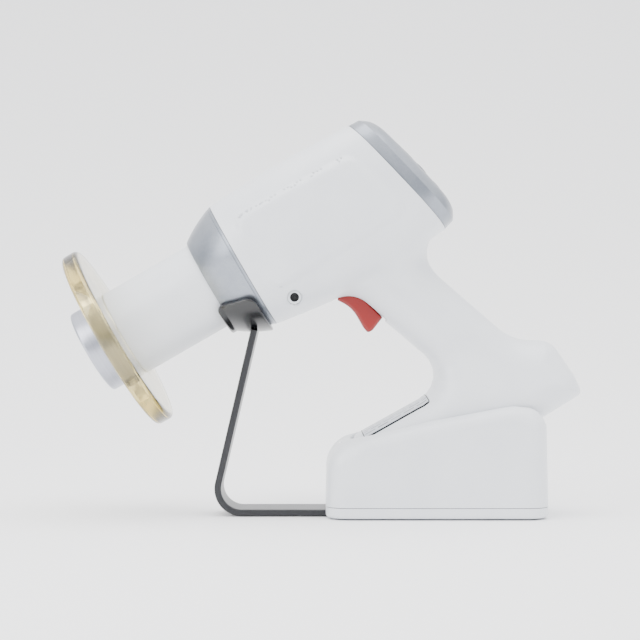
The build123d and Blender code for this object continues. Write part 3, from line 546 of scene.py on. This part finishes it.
handleOutline = roundedOutline([
    (-57, 31, 3), (-62, 58.5, 6), (15.5, 101.4, 21), (-66, 170.3, 1), (-40, 215, 1), (-30, 208.9, 1),
    (58.5, 132.3, 36), (88, 131.5, 16), (105, 106, 20), (111, 92, 5), (66.5, 64.8, 4), (64.5, 31, 3)])
slotOutline = np.array([(-77, 156), (-75.5, 176), (-50, 176), (-35.5, 149.5), (-46, 134)], float)
screwPlaces = [(-79.4, 275.2), (-42.0, 204.0), (8.0, 141.0), (78.0, 112.0), (-48.0, 45.0), (58.5, 74.0)]
jackPlace = np.array(mounts["dc_jack"]["pos_m"]) * 1000
jackAxis = np.array(mounts["dc_jack"]["axis"])
slotHalfWidth = (boxMm("trigger")[1][1] + 0.6)


def barrelCoordinates(x, z):
    # how far a point lies along the barrel from the seam, and how far above its axis
    dx, dz = x - seamCentre[0], z - seamCentre[2]
    return dx * barrelAxis[0] + dz * barrelAxis[2], dx * barrelRise[0] + dz * barrelRise[2]


def barrelField(x, y, z):
    # a superellipse that grows squarer to the rear: radius * (1 - 1 / ((w/W)^n + (h/H)^n)^(1/n))
    along, above = barrelCoordinates(x, z)
    width = smoothTable(along, stations, barrelHalfWidth)
    top, bottom = smoothTable(along, stations, barrelTop), smoothTable(along, stations, barrelBottom)
    power = smoothTable(along, stations, barrelSquareness)
    up = np.abs(above - (top + bottom) / 2)
    out = np.abs(y)
    ratio = ((out / width) ** power + (up / ((top - bottom) / 2)) ** power + 1e-9) ** (1 / power)
    barrel = np.sqrt(out * out + up * up + 1e-6) * (1 - 1 / ratio)
    # the side pad: the same surface raised over a soft bevel and flattened where it reaches furthest
    edge = polygonDistance(along, above, padInner) - padRound
    raised = softStep(-edge / housing["padBevel"])
    pad = softMax(barrel - housing["padRaise"], out - housing["padReach"], 6.0)
    return barrel + raised * (pad - barrel)


def gripField(x, y, z):
    # the outline seen from the side, carried across with crowned edges: wide at the foot, slim above
    edge = polygonDistance(x, z, handleOutline)
    above = z - housing["gripSlimFrom"]
    slim = softStep(above / housing["gripSlimOver"])
    slimmer = housing["footHalfWidth"] - housing["gripHalfWidth"]
    half = housing["footHalfWidth"] - slimmer * slim + 0.02 * np.minimum(above, 0)
    crown = housing["footCrown"] + (housing["gripCrown"] - housing["footCrown"]) * slim
    crown = np.minimum(crown, 3 + np.maximum(z - 31, 0) * 1.1)
    return roundMax(edge, np.abs(y) - half, crown)


def housingField(x, y, z):
    # barrel and grip joined over a soft hollow, less the slot that the trigger sits in
    behind = softStep((0.755 * (x + 20) + 0.656 * (z - 165) + 12) / 24)
    toSeam = -((x - rearCentre[0]) * rearNormal[0] + (z - rearCentre[2]) * rearNormal[2])
    behind = behind * softStep(toSeam / 24)  # the joint tightens to nothing at the rear seam
    reach = housing["blendFront"] + (housing["blendBehind"] - housing["blendFront"]) * behind
    body = softMin(barrelField(x, y, z), gripField(x, y, z), reach)
    slot = np.maximum(polygonDistance(x, z, slotOutline), np.abs(y) - slotHalfWidth)
    return softMax(body, -slot, 1.2)


def shellField(x, y, z, side):
    # one half's wall: the body less the same body drawn in by the wall, with its holes
    body = housingField(x, y, z)
    if side < 0:  # the jack's hole, through the left wall only
        hole = np.maximum(np.hypot(x - jackPlace[0], z - jackPlace[2]) - housing["jackHole"], y + 20)
        body = softMax(body, -hole, 0.9)
    else:  # the screws' counterbores, through the right half
        for px, pz in screwPlaces:
            hole = np.maximum(np.hypot(x - px, z - pz) - housing["screwHole"], 10 - y)
            body = softMax(body, -hole, 0.5)
    return np.maximum(body, -(body + wall))


def buildHousing():
    # the two half shells, each cut at the middle plane, at the collar and at the rear face
    low = np.array([seamCentre[0] - 36, 0, boxMm("housing_left")[0][2] - 4])
    high = boxMm("housing_left")[1] + 5
    for name, side in (("housingShellLeft", -1), ("housingShellRight", 1)):
        start = np.array([low[0], -56 if side < 0 else -3, low[2]])
        stop = np.array([high[0], 3 if side < 0 else 56, high[2]])
        points, faces = fieldSurface(lambda x, y, z: shellField(x, y, z, side), start, stop,
                                     housing["cell"])
        gap = acrossAxis * side * housing["seamGap"]
        cuts = ((gap, -side * acrossAxis), (seamCentre + barrelAxis * housing["seamGap"], -barrelAxis),
                (rearCentre - rearNormal * housing["seamGap"], rearNormal))
        points, faces = cutMesh(points, faces, cuts)
        makePiece(name, points, faces, body="handset", slot="white_housing",
                  material=materials["white_housing"], sharp=75,
                  hides=["housing_left" if side < 0 else "housing_right"])


buildHousing()
print("stage: the housing's two halves are built")


collimator = {
    "collarLength": 29.0, "collarFront": 36.0, "collarMiddle": 45.0, "seamRadius": 51.1,
    "collarWall": 3.0, "collarBore": 34.15, "grooveAt": -2.23, "grooveDepth": 0.3,
    "tubeRadius": 34.0, "boreRadius": 30.0, "tubeFront": -103.5, "tubeRear": -8.0, "tubeFlange": 5.0,
    "tipRadius": 33.0, "tipFront": -132.8, "tipReliefFrom": -117.0,
    "sleeveRadius": 28.4, "sleeveLength": 14.0,
    "shieldRadius": 72.97, "shieldThickness": 13.0, "shieldEdge": 3.0, "shieldGap": 0.06,
}
c = collimator


def collarRadius(along):
    # the circle through the collar's front edge, its middle and the seam
    x1, y1 = -c["collarLength"], c["collarFront"]
    x2, y2 = -c["collarLength"] / 2, c["collarMiddle"]
    x3, y3 = 0.0, c["seamRadius"]
    d = 2 * (x1 * (y2 - y3) + x2 * (y3 - y1) + x3 * (y1 - y2))
    s1, s2, s3 = x1 * x1 + y1 * y1, x2 * x2 + y2 * y2, x3 * x3 + y3 * y3
    cx = (s1 * (y2 - y3) + s2 * (y3 - y1) + s3 * (y1 - y2)) / d
    cy = (s1 * (x3 - x2) + s2 * (x1 - x3) + s3 * (x2 - x1)) / d
    radius = np.hypot(x1 - cx, y1 - cy)
    return cy + np.sqrt(np.maximum(radius ** 2 - (along - cx) ** 2, 0))


def buildCollimator():
    # closed profiles of (along, radius), each turned about the barrel's axis
    # the groove is a hair's breadth of shadow just in front of the seam
    end, shell = -c["collarLength"], c["collarWall"]
    along = np.concatenate([np.linspace(end + 0.9, -2.6, 24), [-2.35, -2.1], np.linspace(-1.85, -0.35, 4)])
    groove = np.where(np.abs(along - c["grooveAt"]) < 0.2, c["grooveDepth"], 0)
    outer = np.stack([along, collarRadius(along) - groove], -1)
    profile = np.vstack([
        [(end + 3, c["collarBore"]), (end + 0.3, c["collarBore"]), (end, 34.6)],
        [(end, collarRadius(end) - 0.6), (end + 0.3, collarRadius(end + 0.3) - 0.12)], outer,
        [(-0.06, collarRadius(-0.06) - 0.3), (-0.06, c["seamRadius"] - wall)],
        [(-10, collarRadius(-10.0) - shell), (-20, collarRadius(-20.0) - shell)]])
    revolved("collarShell", profile, body="handset", slot="silver_trim", material=materials["silver_trim"],
             hides=["front_collar"], sharp=30)
    mouth, tubeRear, flange = c["tubeFront"], c["tubeRear"], c["tubeFlange"]
    tube = roundedOutline([
        (mouth, c["boreRadius"], 0.5), (mouth, c["tubeRadius"], 1.0), (tubeRear, c["tubeRadius"], 0),
        (tubeRear, c["tubeRadius"] + flange, 0.5), (tubeRear + flange, c["tubeRadius"] + flange, 0.5),
        (tubeRear + flange, c["boreRadius"], 0)], 6)
    tube = densify(tube, 6.0)
    revolved("coneTube", tube, body="handset", slot="white_housing", material=materials["white_housing"],
             hides=["collimator_tube"], sharp=30)
    front, tip = c["tipFront"], c["tipRadius"]
    relief, sleeve, bore = c["tipReliefFrom"], c["sleeveRadius"], c["boreRadius"]
    ring = roundedOutline([
        (front, sleeve, 0.8), (front, tip, 2.0), (relief, tip, 0), (relief, tip - 0.1, 0),
        (mouth, tip - 0.1, 0), (mouth, bore, 0), (mouth + c["sleeveLength"], bore, 0),
        (mouth + c["sleeveLength"], sleeve, 0), (front + 6, sleeve, 0), (front + 6, bore, 0.3),
        (front + 2.2, bore, 0.3)], 6)
    revolved("tipRing", densify(ring, 5.0), body="handset", slot="satin_aluminium",
             material=materials["satin_aluminium"], hides=["collimator_tip"], sharp=30)
    face, edge, hole = mouth - c["shieldThickness"], c["shieldEdge"], tip + c["shieldGap"]
    disc = roundedOutline([(face, hole, 0.4), (face, c["shieldRadius"], edge),
                           (mouth, c["shieldRadius"], edge), (mouth, hole, 0.4)], 8)
    revolved("shieldDisc", densify(disc, 5.0), around=256, body="shield", slot="lead_acrylic",
             material=materials["lead_acrylic"], hides=["backscatter_shield"], sharp=30)


def densify(outline, longest):
    # extra points on the long straight sides, so that their quads stay well shaped
    parts = []
    for start, end in zip(outline, np.roll(outline, -1, 0)):
        steps = max(1, int(np.ceil(np.linalg.norm(end - start) / longest)))
        parts.append(start + (end - start) * np.arange(steps)[:, None] / steps)
    return np.vstack(parts)


buildCollimator()
print("stage: collar, collimator and shield are built")


rear = {
    # depth, inset and drop of the outline's middle, from the seam over the chamfer to the panel
    "wall": [(0.32, 0.25, 0.03), (0.6, 0.25, 0.06), (4.5, 0.95, 0.5), (8.7, 1.6, 0.95)],
    "chamfer": [(9.1, 2.0, 1.0), (11.5, 4.4, 1.15), (13.9, 7.3, 1.3), (15.4, 11.0, 1.4), (16.2, 14.2, 1.5)],
    "panelEdge": (16.5, 16.0),
    "crown": 2.3,                                # the panel's rise to its middle
    "screen": (44.0, 26.0, 3.0), "screenHeight": 14.0,
    "keyRadius": 4.5, "keyColumns": (-12.0, 12.0), "keyRows": (-8.0, -24.0),
    "powerRadius": 3.0, "powerReach": 2.8, "powerTilt": 15.1,  # the tilt is the chamfer's own slope
}


keyNames = {"key_up": "keyUpCap", "key_down": "keyDownCap",
            "key_preset": "keyPresetCap", "key_enter": "keyEnterCap"}


def rearSection(depth, count=256):
    # the housing's outline in a plane square to the rear face, found by halving along rays
    turn = np.linspace(0, 2 * np.pi, count, endpoint=False)
    low, high = np.full(count, 20.0), np.full(count, 75.0)
    for _ in range(40):
        middle = (low + high) / 2
        points = rearPoints(np.full(count, depth), np.cos(turn) * middle, np.sin(turn) * middle)
        inside = housingField(*points.T) < 0
        low, high = np.where(inside, middle, low), np.where(inside, high, middle)
    return np.stack([np.cos(turn) * low, np.sin(turn) * low], -1)


def crownDepth(across, height):
    # a shallow dome: the edge's depth plus crown * (1 - (across / 33)^2 - ((height + 2) / 40)^2)
    reach = (across / 33) ** 2 + ((height + 2) / 40) ** 2
    return rear["panelEdge"][0] + rear["crown"] * np.clip(1 - reach, 0, 1)


def insetRing(section, normals, depth, inset, drop=0.0):
    # the seam's outline moved inwards along its normals and lowered, at one depth
    flat = section - normals * inset - [0, drop]
    return rearPoints(np.full(len(flat), depth), flat[:, 0], flat[:, 1])


def buildRear():
    # the bezel is that outline carried out over its wall and chamfer; the panel shrinks to its middle
    section = rearSection(-0.2)
    normals = outlineNormals(section)
    inner = [(0.12, 5.2), (-1.2, 5.0), (-1.2, 1.0), (0.12, 0.95), (0.12, 0.5)]
    seat = [(16.4, 15.6, 1.5), (16.35, 15.9, 1.5), (14.4, 16.0, 1.5), (14.4, 22.0, 1.5)]
    rows = inner + rear["wall"] + rear["chamfer"] + seat
    rings = np.stack([insetRing(section, normals, *row) for row in rows])
    ringPiece("bezelShell", rings, body="handset", slot="silver_trim", material=materials["silver_trim"],
              hides=["rear_bezel"], sharp=24)
    panel = section - normals * 16.2 - [0, 1.5]
    shares = np.concatenate([[1.0, 1.0, 0.997, 0.985], np.linspace(0.94, 0.06, 22)])
    drops = np.concatenate([[2.4, 0.35, 0.1, 0.0], np.zeros(22)])
    rings = []
    for share, drop in zip(shares, drops):
        flat = panel * share
        depth = crownDepth(flat[:, 0], flat[:, 1]) - drop
        rings.append(rearPoints(depth, flat[:, 0], flat[:, 1]))
    ringPiece("panelPlate", rings, body="handset", slot="panel_silver", material=materials["panel_silver"],
              hides=["display_panel"], sharp=30)
    buildWindow()
    places = [(column, row) for row in rear["keyRows"] for column in rear["keyColumns"]]
    for (node, name), (column, row) in zip(keyNames.items(), places):
        buildKey(node, name, column, row)
    buildPower()


def buildWindow():
    # a rounded rectangle that shrinks to its middle on the panel's dome
    width, height, corner = rear["screen"]
    w, h = width / 2, height / 2
    outline = densify(roundedRectangle(w, h, corner), 2.0)
    normals = outlineNormals(outline)
    rings, flats = [], []
    edge = [(0, 1.2), (0, 0.1), (0.25, -0.12), (0.7, -0.2)]
    face = [(inset, -0.2) for inset in np.linspace(2, 12.4, 8)]
    for inset, drop in edge + face:
        share = np.clip(1 - inset / h, 0.04, 1)
        flat = outline - normals * inset if inset < corner else outline * [1 - inset / w, share]
        depth = crownDepth(flat[:, 0], flat[:, 1] + rear["screenHeight"]) - drop
        rings.append(rearPoints(depth, flat[:, 0], flat[:, 1] + rear["screenHeight"]))
        flats.append(flat)
    uv = np.vstack([np.vstack(flats), flats[0].mean(0), flats[-1].mean(0)])
    ringPiece("displayGlass", rings, body="handset", slot="screen_glass",
              material=materials["screen_glass"], hides=["display_window"], sharp=30, uv=uv)


def capProfile(radius, low, high, crown, edge):
    # a button's closed profile: straight side, rounded edge, crowned top
    turn = np.linspace(0, np.pi / 2, 7)
    corner = np.stack([high - edge + edge * np.sin(turn), radius - edge + edge * np.cos(turn)], -1)
    share = np.linspace(1, 0.02, 8)[1:]
    top = np.stack([high + crown * (1 - share ** 2), (radius - edge) * share], -1)
    return np.vstack([[(low, 0.05)], [(low, radius)], corner, top])


def buildKey(node, name, column, row):
    # a cap turned about the rear face's normal, in a rubber ring that seals it; the ring is drawn near black, as
    # painted shade in the gap round the cap
    seat = float(crownDepth(np.array(column), np.array(row)))
    origin = rearPoints(np.array(0.0), np.array(column), np.array(row))
    cap = capProfile(rear["keyRadius"], 11.2, seat + 0.35, 0.2, 0.4)
    revolved(name, cap, around=64, origin=origin, axis=rearNormal, up=rearUp, body=node,
             slot="key_grey", material=materials["key_grey"], hides=[node])
    radius = rear["keyRadius"]
    collar = roundedOutline([(seat - 1.2, radius + 0.12, 0), (seat - 1.2, radius + 0.95, 0),
                             (seat + 0.16, radius + 0.95, 0.12), (seat + 0.16, radius + 0.12, 0.12)], 4)
    revolved(name + "Seal", collar, around=64, origin=origin, axis=rearNormal, up=rearUp,
             body="handset", slot="grey_rubber", material=gapShadeRubber)


def buildPower():
    # a cap turned about an axis square to the chamfer
    low, high = boxMm("power_button")
    centre = (low + high) / 2
    tilt = np.radians(rear["powerTilt"])
    axis = np.array([np.cos(tilt), 0.0, np.sin(tilt)])
    up = np.array([-axis[2], 0.0, axis[0]])
    reach = rear["powerReach"]
    cap = capProfile(rear["powerRadius"], 0.0, 2 * reach - 0.2, 0.35, 0.6)
    revolved("powerCap", cap, around=64, origin=centre - axis * reach, axis=axis, up=up,
             body="power_button", slot="red_plastic", material=materials["red_plastic"],
             hides=["power_button"])


buildRear()
print("stage: the rear is built")


trigger = {"edge": 1.8, "cell": 0.7}
triggerOutline = roundedOutline([
    (-73.5, 162.2, 0), (-62.5, 156.6, 26), (-53.2, 140.2, 18), (-50.4, 137.6, 1.8), (-47.0, 139.4, 1.2),
    (-39.4, 149.2, 1.0), (-52.0, 162.0, 0), (-60.0, 174.0, 0), (-71.5, 173.0, 0)], 9)


def triggerField(x, y, z):
    # the blade's side outline carried across, its edges rounded all the way round
    side = polygonDistance(x, z, triggerOutline)
    return roundMax(side, np.abs(y) - boxMm("trigger")[1][1], trigger["edge"])


def buildTrigger():
    low, high = boxMm("trigger")
    points, faces = fieldSurface(triggerField, low - 2, high + 2, trigger["cell"])
    makePiece("triggerBlade", points, faces, body="trigger", slot="red_plastic",
              material=materials["red_plastic"], hides=["trigger"], sharp=60)


jack = {"bore": 4.25, "barrel": 4.85, "lip": 3.3, "outer": 5.0, "stands": 0.45, "depth": 7.0}


def buildJack():
    # a pale ring with a thin flange that seats on the wall, round the jack's dark socket
    wallPoint = np.array([jackPlace[0], -60.0, jackPlace[2]])
    reach = np.linspace(-60, -20, 801)
    values = housingField(np.full(801, wallPoint[0]), reach, np.full(801, wallPoint[2]))
    face = max(-reach[np.argmax(values < 0)], -boxMm("dc_jack")[0][1] - 0.3)
    bore, barrel, lip, outer = jack["bore"], jack["barrel"], jack["lip"], jack["outer"]
    front, seat, end = face + jack["stands"], face - 0.6, face - jack["depth"]
    ring = roundedOutline([(end, bore, 0), (end, barrel, 0), (seat, barrel, 0.2), (seat, outer, 0),
                           (front, outer, 0.5), (front, lip, 0.4), (seat, lip, 0), (seat, bore, 0)], 5)
    revolved("jackFlange", ring, around=72, origin=np.array([jackPlace[0], 0.0, jackPlace[2]]),
             axis=jackAxis, up=np.array([0.0, 0.0, 1.0]), body="handset", slot="jack_white",
             material=materials["jack_white"], hides=["jack_ring"])


label = {"start": (-30.4, 0.0, 75.2), "slope": 28.2, "length": 56.0, "width": 46.0,
         "corner": 2.0, "lift": 0.35}


def drapedPlate(name, field, start, slope, length, width, corner, lift, rounds=30, **details):
    # a thin plate laid on a crowned slope: each point of its flat outline goes down square to the
    # slope on to the surface under it, and the plate's face stands a little above that
    slope = np.radians(slope)
    along = np.array([np.cos(slope), 0, np.sin(slope)])
    normal = np.array([-np.sin(slope), 0, np.cos(slope)])
    half, wide = length / 2, width / 2
    outline = densify(roundedRectangle(half, wide, corner), 1.5)
    shares = np.concatenate([[1, 1, 0.995], np.linspace(0.96, 0.03, rounds)])
    lifts = np.concatenate([[-0.4, lift - 0.1, lift], np.full(rounds, lift)])
    rings, flats = [], []
    for share, rise in zip(shares, lifts):
        flat = outline * share
        base = np.asarray(start) + flat[:, :1] * along + flat[:, 1:] * acrossAxis
        low, high = np.full(len(base), -34.0), np.full(len(base), 12.0)
        for _ in range(26):
            middle = (low + high) / 2
            inside = field(*(base + middle[:, None] * normal).T) < 0
            low, high = np.where(inside, middle, low), np.where(inside, high, middle)
        rings.append(base + (low + rise)[:, None] * normal)
        flats.append(flat)
    uv = np.vstack([np.vstack(flats), flats[0].mean(0), flats[-1].mean(0)])
    ringPiece(name, rings, sharp=30, uv=uv, **details)


def buildLabel():
    drapedPlate("ratingLabel", housingField, **label, body="handset", slot="label_foil",
                material=materials["label_foil"], hides=["rating_label"])


buildTrigger()
buildJack()
buildLabel()
print("stage: trigger, jack and label are built")


dock = {
    "cell": 1.35, "corner": 16.0, "bottom": 9.25, "draft": 1.6, "sideEdge": 11.0, "endEdge": 17.0,
    "mouth": 1.4, "pocketGap": 0.8, "pocketCorner": 24.0, "gasketInset": 0.6, "gasketWidth": 1.2,
}
dockHalf = (boxMm("dock_base_plate")[1] - boxMm("dock_base_plate")[0]) / 2
dockTop = roundedOutline([(-150, 34.9, 0), (-60, 59.3, 30), (-6, 72.4, 60), (56, 84.0, 24), (150, 82.8, 0),
                          (150, -60, 0), (-150, -60, 0)], 9)
footLow, footHigh = np.array([-62.0, -33.0, 31.0]), np.array([112.0, 33.0, 31.0])
pocketFloor = boxMm("foot_pads")[0][2]
heelX = 66.5
tailRoot, tailSlope = 64.8, np.radians(31.4)


def roundedPlan(x, y, lowX, highX, halfY, corner):
    # the distance to a rectangle with rounded corners
    across = np.abs(x - (lowX + highX) / 2) - (highX - lowX) / 2 + corner
    aside = np.abs(y) - halfY + corner
    outer = np.sqrt(np.maximum(across, 0) ** 2 + np.maximum(aside, 0) ** 2)
    return outer + np.minimum(np.maximum(across, aside), 0) - corner


def dockField(x, y, z):
    # a block with a rounded top outline and leaning walls, less the pocket for the foot
    draft = dock["draft"] * (z - 9) / 75  # the walls lean in a little towards the top
    plan = roundedPlan(x, y, -dockHalf[0], dockHalf[0], dockHalf[1], dock["corner"]) + draft
    side = polygonDistance(x, z, dockTop)
    edge = dock["sideEdge"] + (dock["endEdge"] - dock["sideEdge"]) * softStep((np.abs(x) - 48) / 24)
    block = roundMax(side, plan, edge)
    gap = dock["pocketGap"]
    foot = roundedPlan(x, y, footLow[0] - gap, footHigh[0] + gap, footHigh[1] + gap, dock["pocketCorner"])
    # behind the heel the pocket is open only above the line of the tail's underside
    under = (z - (tailRoot + (x - heelX) * np.tan(tailSlope))) * np.cos(tailSlope) + gap
    behind = np.minimum(x - (heelX + gap), -under)
    pocket = np.maximum(np.maximum(foot, pocketFloor - z), behind)
    return softMax(block, -pocket, dock["mouth"] * 2)


def dockShellField(x, y, z):
    # the block's wall, with holes for the contact pins and the power inlet
    body = dockField(x, y, z)
    for node in ("contact_pin_left", "contact_pin_right"):
        low, high = boxMm(node)
        px, py = (low[0] + high[0]) / 2, (low[1] + high[1]) / 2
        body = np.maximum(body, -np.maximum(np.hypot(x - px, y - py) - 1.9, z - 40))
    inlet = boxMm("power_inlet")
    hole = np.maximum(np.hypot(y, z - (inlet[0][2] + inlet[1][2]) / 2) - 5.05, 60 - x)
    body = softMax(body, -hole, 0.6)
    return np.maximum(body, -(body + wall))


def buildDock():
    low, high = boxMm("dock_shell")
    points, faces = fieldSurface(dockShellField, low + [-4, -4, -7], high + [4, 4, 8], dock["cell"])
    points, faces = cutMesh(points, faces, [(np.array([0, 0, dock["bottom"]]), np.array([0, 0, -1.0]))])
    makePiece("dockShell", points, faces, body="dock", slot="white_housing",
              material=materials["white_housing"], hides=["dock_shell"], sharp=75)
    # a rubber gasket in the joint between shell and base, drawn near black as painted shade in that joint
    low, high = boxMm("dock_base_plate")
    gap = dock["gasketInset"]
    outline = roundedRectangle(dockHalf[0] - gap, dockHalf[1] - gap, dock["corner"] - gap, 24)
    normals = outlineNormals(outline)
    under, over, inner = high[2] - 0.4, dock["bottom"] + 0.4, dock["gasketWidth"]
    rows = [(under, inner), (under, 0), (over, 0), (over, inner)]
    rings = np.stack([np.column_stack([outline - normals * inset, np.full(len(outline), level)])
                      for level, inset in rows])
    faces = gridFaces(len(rows), len(outline), wrapRows=True)
    makePiece("dockGasket", rings, faces, body="dock", slot="grey_rubber", material=gapShadeRubber)


def buildLens():
    low, high = boxMm("indicator_lens")
    start = (low + high) / 2
    drapedPlate("indicatorLens", dockField, start, 36.0, 6.0, 14.0, 1.2, 0.3, rounds=8, body="dock",
                slot="indicator_clear", material=materials["indicator_clear"], hides=["indicator_lens"])


buildDock()
buildLens()
print("stage: the dock is built")


strap = {"width": 42.0, "thickness": 5.0, "bend": 18.0, "edge": 1.2, "bottom": 0.3,
         "cornerX": -168.1, "tail": -4.0, "endX": -136.2, "endZ": 139.6}
saddle = {"gap": 0.45, "thickness": 4.4, "wrap": 61.0, "wrapRadius": 46.0, "overTube": 2.0,
          "front": -33.0, "rear": -4.6, "corner": 7.0, "edge": 1.5, "cell": 0.85}


def strapRings():
    # line, arc, line in the side view; the strap's section is a flat bar with rounded edges
    middle = strap["bottom"] + strap["thickness"] / 2
    corner = np.array([strap["cornerX"], middle])
    tail, end = np.array([strap["tail"], middle]), np.array([strap["endX"], strap["endZ"]])
    back = (tail - corner) / np.linalg.norm(tail - corner)
    ahead = (end - corner) / np.linalg.norm(end - corner)
    half = np.arccos(back @ ahead) / 2
    reach = strap["bend"] / np.tan(half)
    centre = corner + (back + ahead) / np.linalg.norm(back + ahead) * strap["bend"] / np.sin(half)
    first, last = corner + back * reach - centre, corner + ahead * reach - centre
    sweep = np.arctan2(first[0] * last[1] - first[1] * last[0], first @ last)
    angle = np.arctan2(first[1], first[0]) + np.linspace(0, sweep, 25)
    bend = centre + strap["bend"] * np.stack([np.cos(angle), np.sin(angle)], -1)
    run = np.linspace(tail, corner + back * reach, 20)[:-1]
    upright = np.linspace(corner + ahead * reach, end, 20)[1:]
    path = np.vstack([run, bend, upright])
    along = np.gradient(path, axis=0)
    along /= np.linalg.norm(along, axis=1)[:, None]
    outward = np.stack([-along[:, 1], along[:, 0]], -1)
    w, t, edge = strap["width"] / 2, strap["thickness"] / 2, strap["edge"]
    section = densify(roundedRectangle(w, t, edge, 5), 6.0)
    rings = np.zeros((len(path), len(section), 3))
    rings[..., 0] = path[:, None, 0] + outward[:, None, 0] * section[None, :, 1]
    rings[..., 1] = section[None, :, 0]
    rings[..., 2] = path[:, None, 1] + outward[:, None, 1] * section[None, :, 1]
    return rings


def saddleField(x, y, z):
    # a plate of even thickness wrapped under the collar; its corners are rounded in the wrapped plan
    along, above = barrelCoordinates(x, z)
    above, aside = np.broadcast_arrays(above, y)
    radius = np.hypot(aside, above)
    turn = np.arctan2(aside, -above)
    grip = collarRadius(np.maximum(along, -c["collarLength"]))
    overTube = np.minimum(grip, c["tubeRadius"] + saddle["overTube"])
    inner = np.where(along < -c["collarLength"], overTube, grip) + saddle["gap"]
    thick = np.abs(radius - inner - saddle["thickness"] / 2) - saddle["thickness"] / 2
    middle = (saddle["front"] + saddle["rear"]) / 2
    length = (saddle["rear"] - saddle["front"]) / 2
    wrap = (np.abs(turn) - np.radians(saddle["wrap"])) * saddle["wrapRadius"] + saddle["corner"]
    ends = np.abs(along - middle) - length + saddle["corner"]
    plan = (np.sqrt(np.maximum(wrap, 0) ** 2 + np.maximum(ends, 0) ** 2)
            + np.minimum(np.maximum(wrap, ends), 0) - saddle["corner"])
    return roundMax(plan, thick, saddle["edge"])


def buildSupport():
    ringPiece("supportStrap", strapRings(), body="dock", slot="black_strap",
              material=materials["black_strap"], hides=["support_strap"], sharp=35)
    low, high = boxMm("saddle")
    points, faces = fieldSurface(saddleField, low - 3, high + 3, saddle["cell"])
    makePiece("saddleCradle", points, faces, body="dock", slot="black_plastic",
              material=materials["black_plastic"], hides=["saddle", "saddle_liner"], sharp=75)


buildSupport()
print("stage: strap and saddle are built")


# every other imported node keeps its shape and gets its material
for name, node in frame["nodes"].items():
    node.data.materials.clear()
    node.data.materials.append(materials[nodeSlots[name]])
print("stage: the packed nodes have their materials")


stage = {"floor": "#fcfcfd", "sky": 2.6, "eye": (-86.8, -1292.0, 147.2), "lens": 95.6}


def buildStage():
    # the floor runs level under the object and sweeps up behind it
    across = np.linspace(-8, 8, 17)
    turn = np.linspace(0, np.pi / 2, 40)
    start, radius = 0.35, 3.2
    path = np.vstack([[(-8.0, 0.0), (-3.0, 0.0), (0.0, 0.0)],
                      np.stack([start + radius * np.sin(turn), radius - radius * np.cos(turn)], -1)])
    grid = np.zeros((len(path), len(across), 3))
    grid[..., 0], grid[..., 1], grid[..., 2] = across[None], path[:, None, 0], path[:, None, 1]
    mesh = bpy.data.meshes.new("studioSweep")
    faces = gridFaces(*grid.shape[:2], wrapColumns=False)[:, ::-1]
    mesh.from_pydata(grid.reshape(-1, 3).tolist(), [], faces.tolist())
    mesh.polygons.foreach_set("use_smooth", np.ones(len(mesh.polygons), bool))
    sweep = bpy.data.objects.new("studioSweep", mesh)
    bpy.context.scene.collection.objects.link(sweep)
    material, tree, surface, place = newMaterial("paintedStudioFloor", Roughness=0.6)
    surface["Base Color"].default_value = linear(stage["floor"])
    paint = addNode(tree, "TexNoise", {"Scale": 1000 / 3.0, "Detail": 2.0, "Roughness": 0.55},
                    {"Vector": place}).outputs[0]
    addNode(tree, "Bump", {"Strength": 1.0, "Distance": 0.02 / 1000}, {"Height": paint}, surface["Normal"])
    mesh.materials.append(material)


def addLight(name, place, aim, size, power, colour="#ffffff"):
    # a rectangular lamp that points from its place at its aim
    light = bpy.data.lights.new(name, "AREA")
    light.shape, light.size, light.size_y = "RECTANGLE", size[0], size[1]
    light.energy = power
    light.color = linear(colour)[:3]
    lamp = bpy.data.objects.new(name, light)
    lamp.location = place
    direction = np.array(aim, float) - np.array(place, float)
    lamp.rotation_euler = Vector(direction).to_track_quat("-Z", "Y").to_euler()
    bpy.context.scene.collection.objects.link(lamp)


buildStage()
world = bpy.data.worlds.new("studioSurround")
bpy.context.scene.world = world
world.use_nodes = True
sky = world.node_tree
background = sky.nodes["Background"]
background.inputs["Strength"].default_value = stage["sky"]
# brighter overhead than at the horizon, so that the metal has something to reflect
look = addNode(sky, "TexCoord").outputs["Generated"]
height = addNode(sky, "SeparateXYZ", links={"Vector": look}).outputs["Z"]
addNode(sky, "ValToRGB", {"stops": [(0.0, "#7d838d"), (0.55, "#ffffff")]}, {"Fac": height},
        background.inputs["Color"])
addLight("overheadSoftbox", (-0.1, -0.1, 1.6), (-0.08, 0, 0.1), (1.6, 1.2), 22)
addLight("leftSoftbox", (-1.3, -0.9, 0.8), (-0.1, 0, 0.15), (0.9, 1.2), 16)
addLight("rightCard", (1.2, -1.0, 0.5), (0, 0, 0.12), (0.7, 1.0), 4)

camera = bpy.data.objects.new("studioCamera", bpy.data.cameras.new("studioCamera"))
camera.data.lens = stage["lens"]
camera.location = np.array(stage["eye"]) / 1000
camera.rotation_euler = (np.pi / 2, 0, 0)
bpy.context.scene.collection.objects.link(camera)
bpy.context.scene.camera = camera
print("stage: floor, light and camera are set")
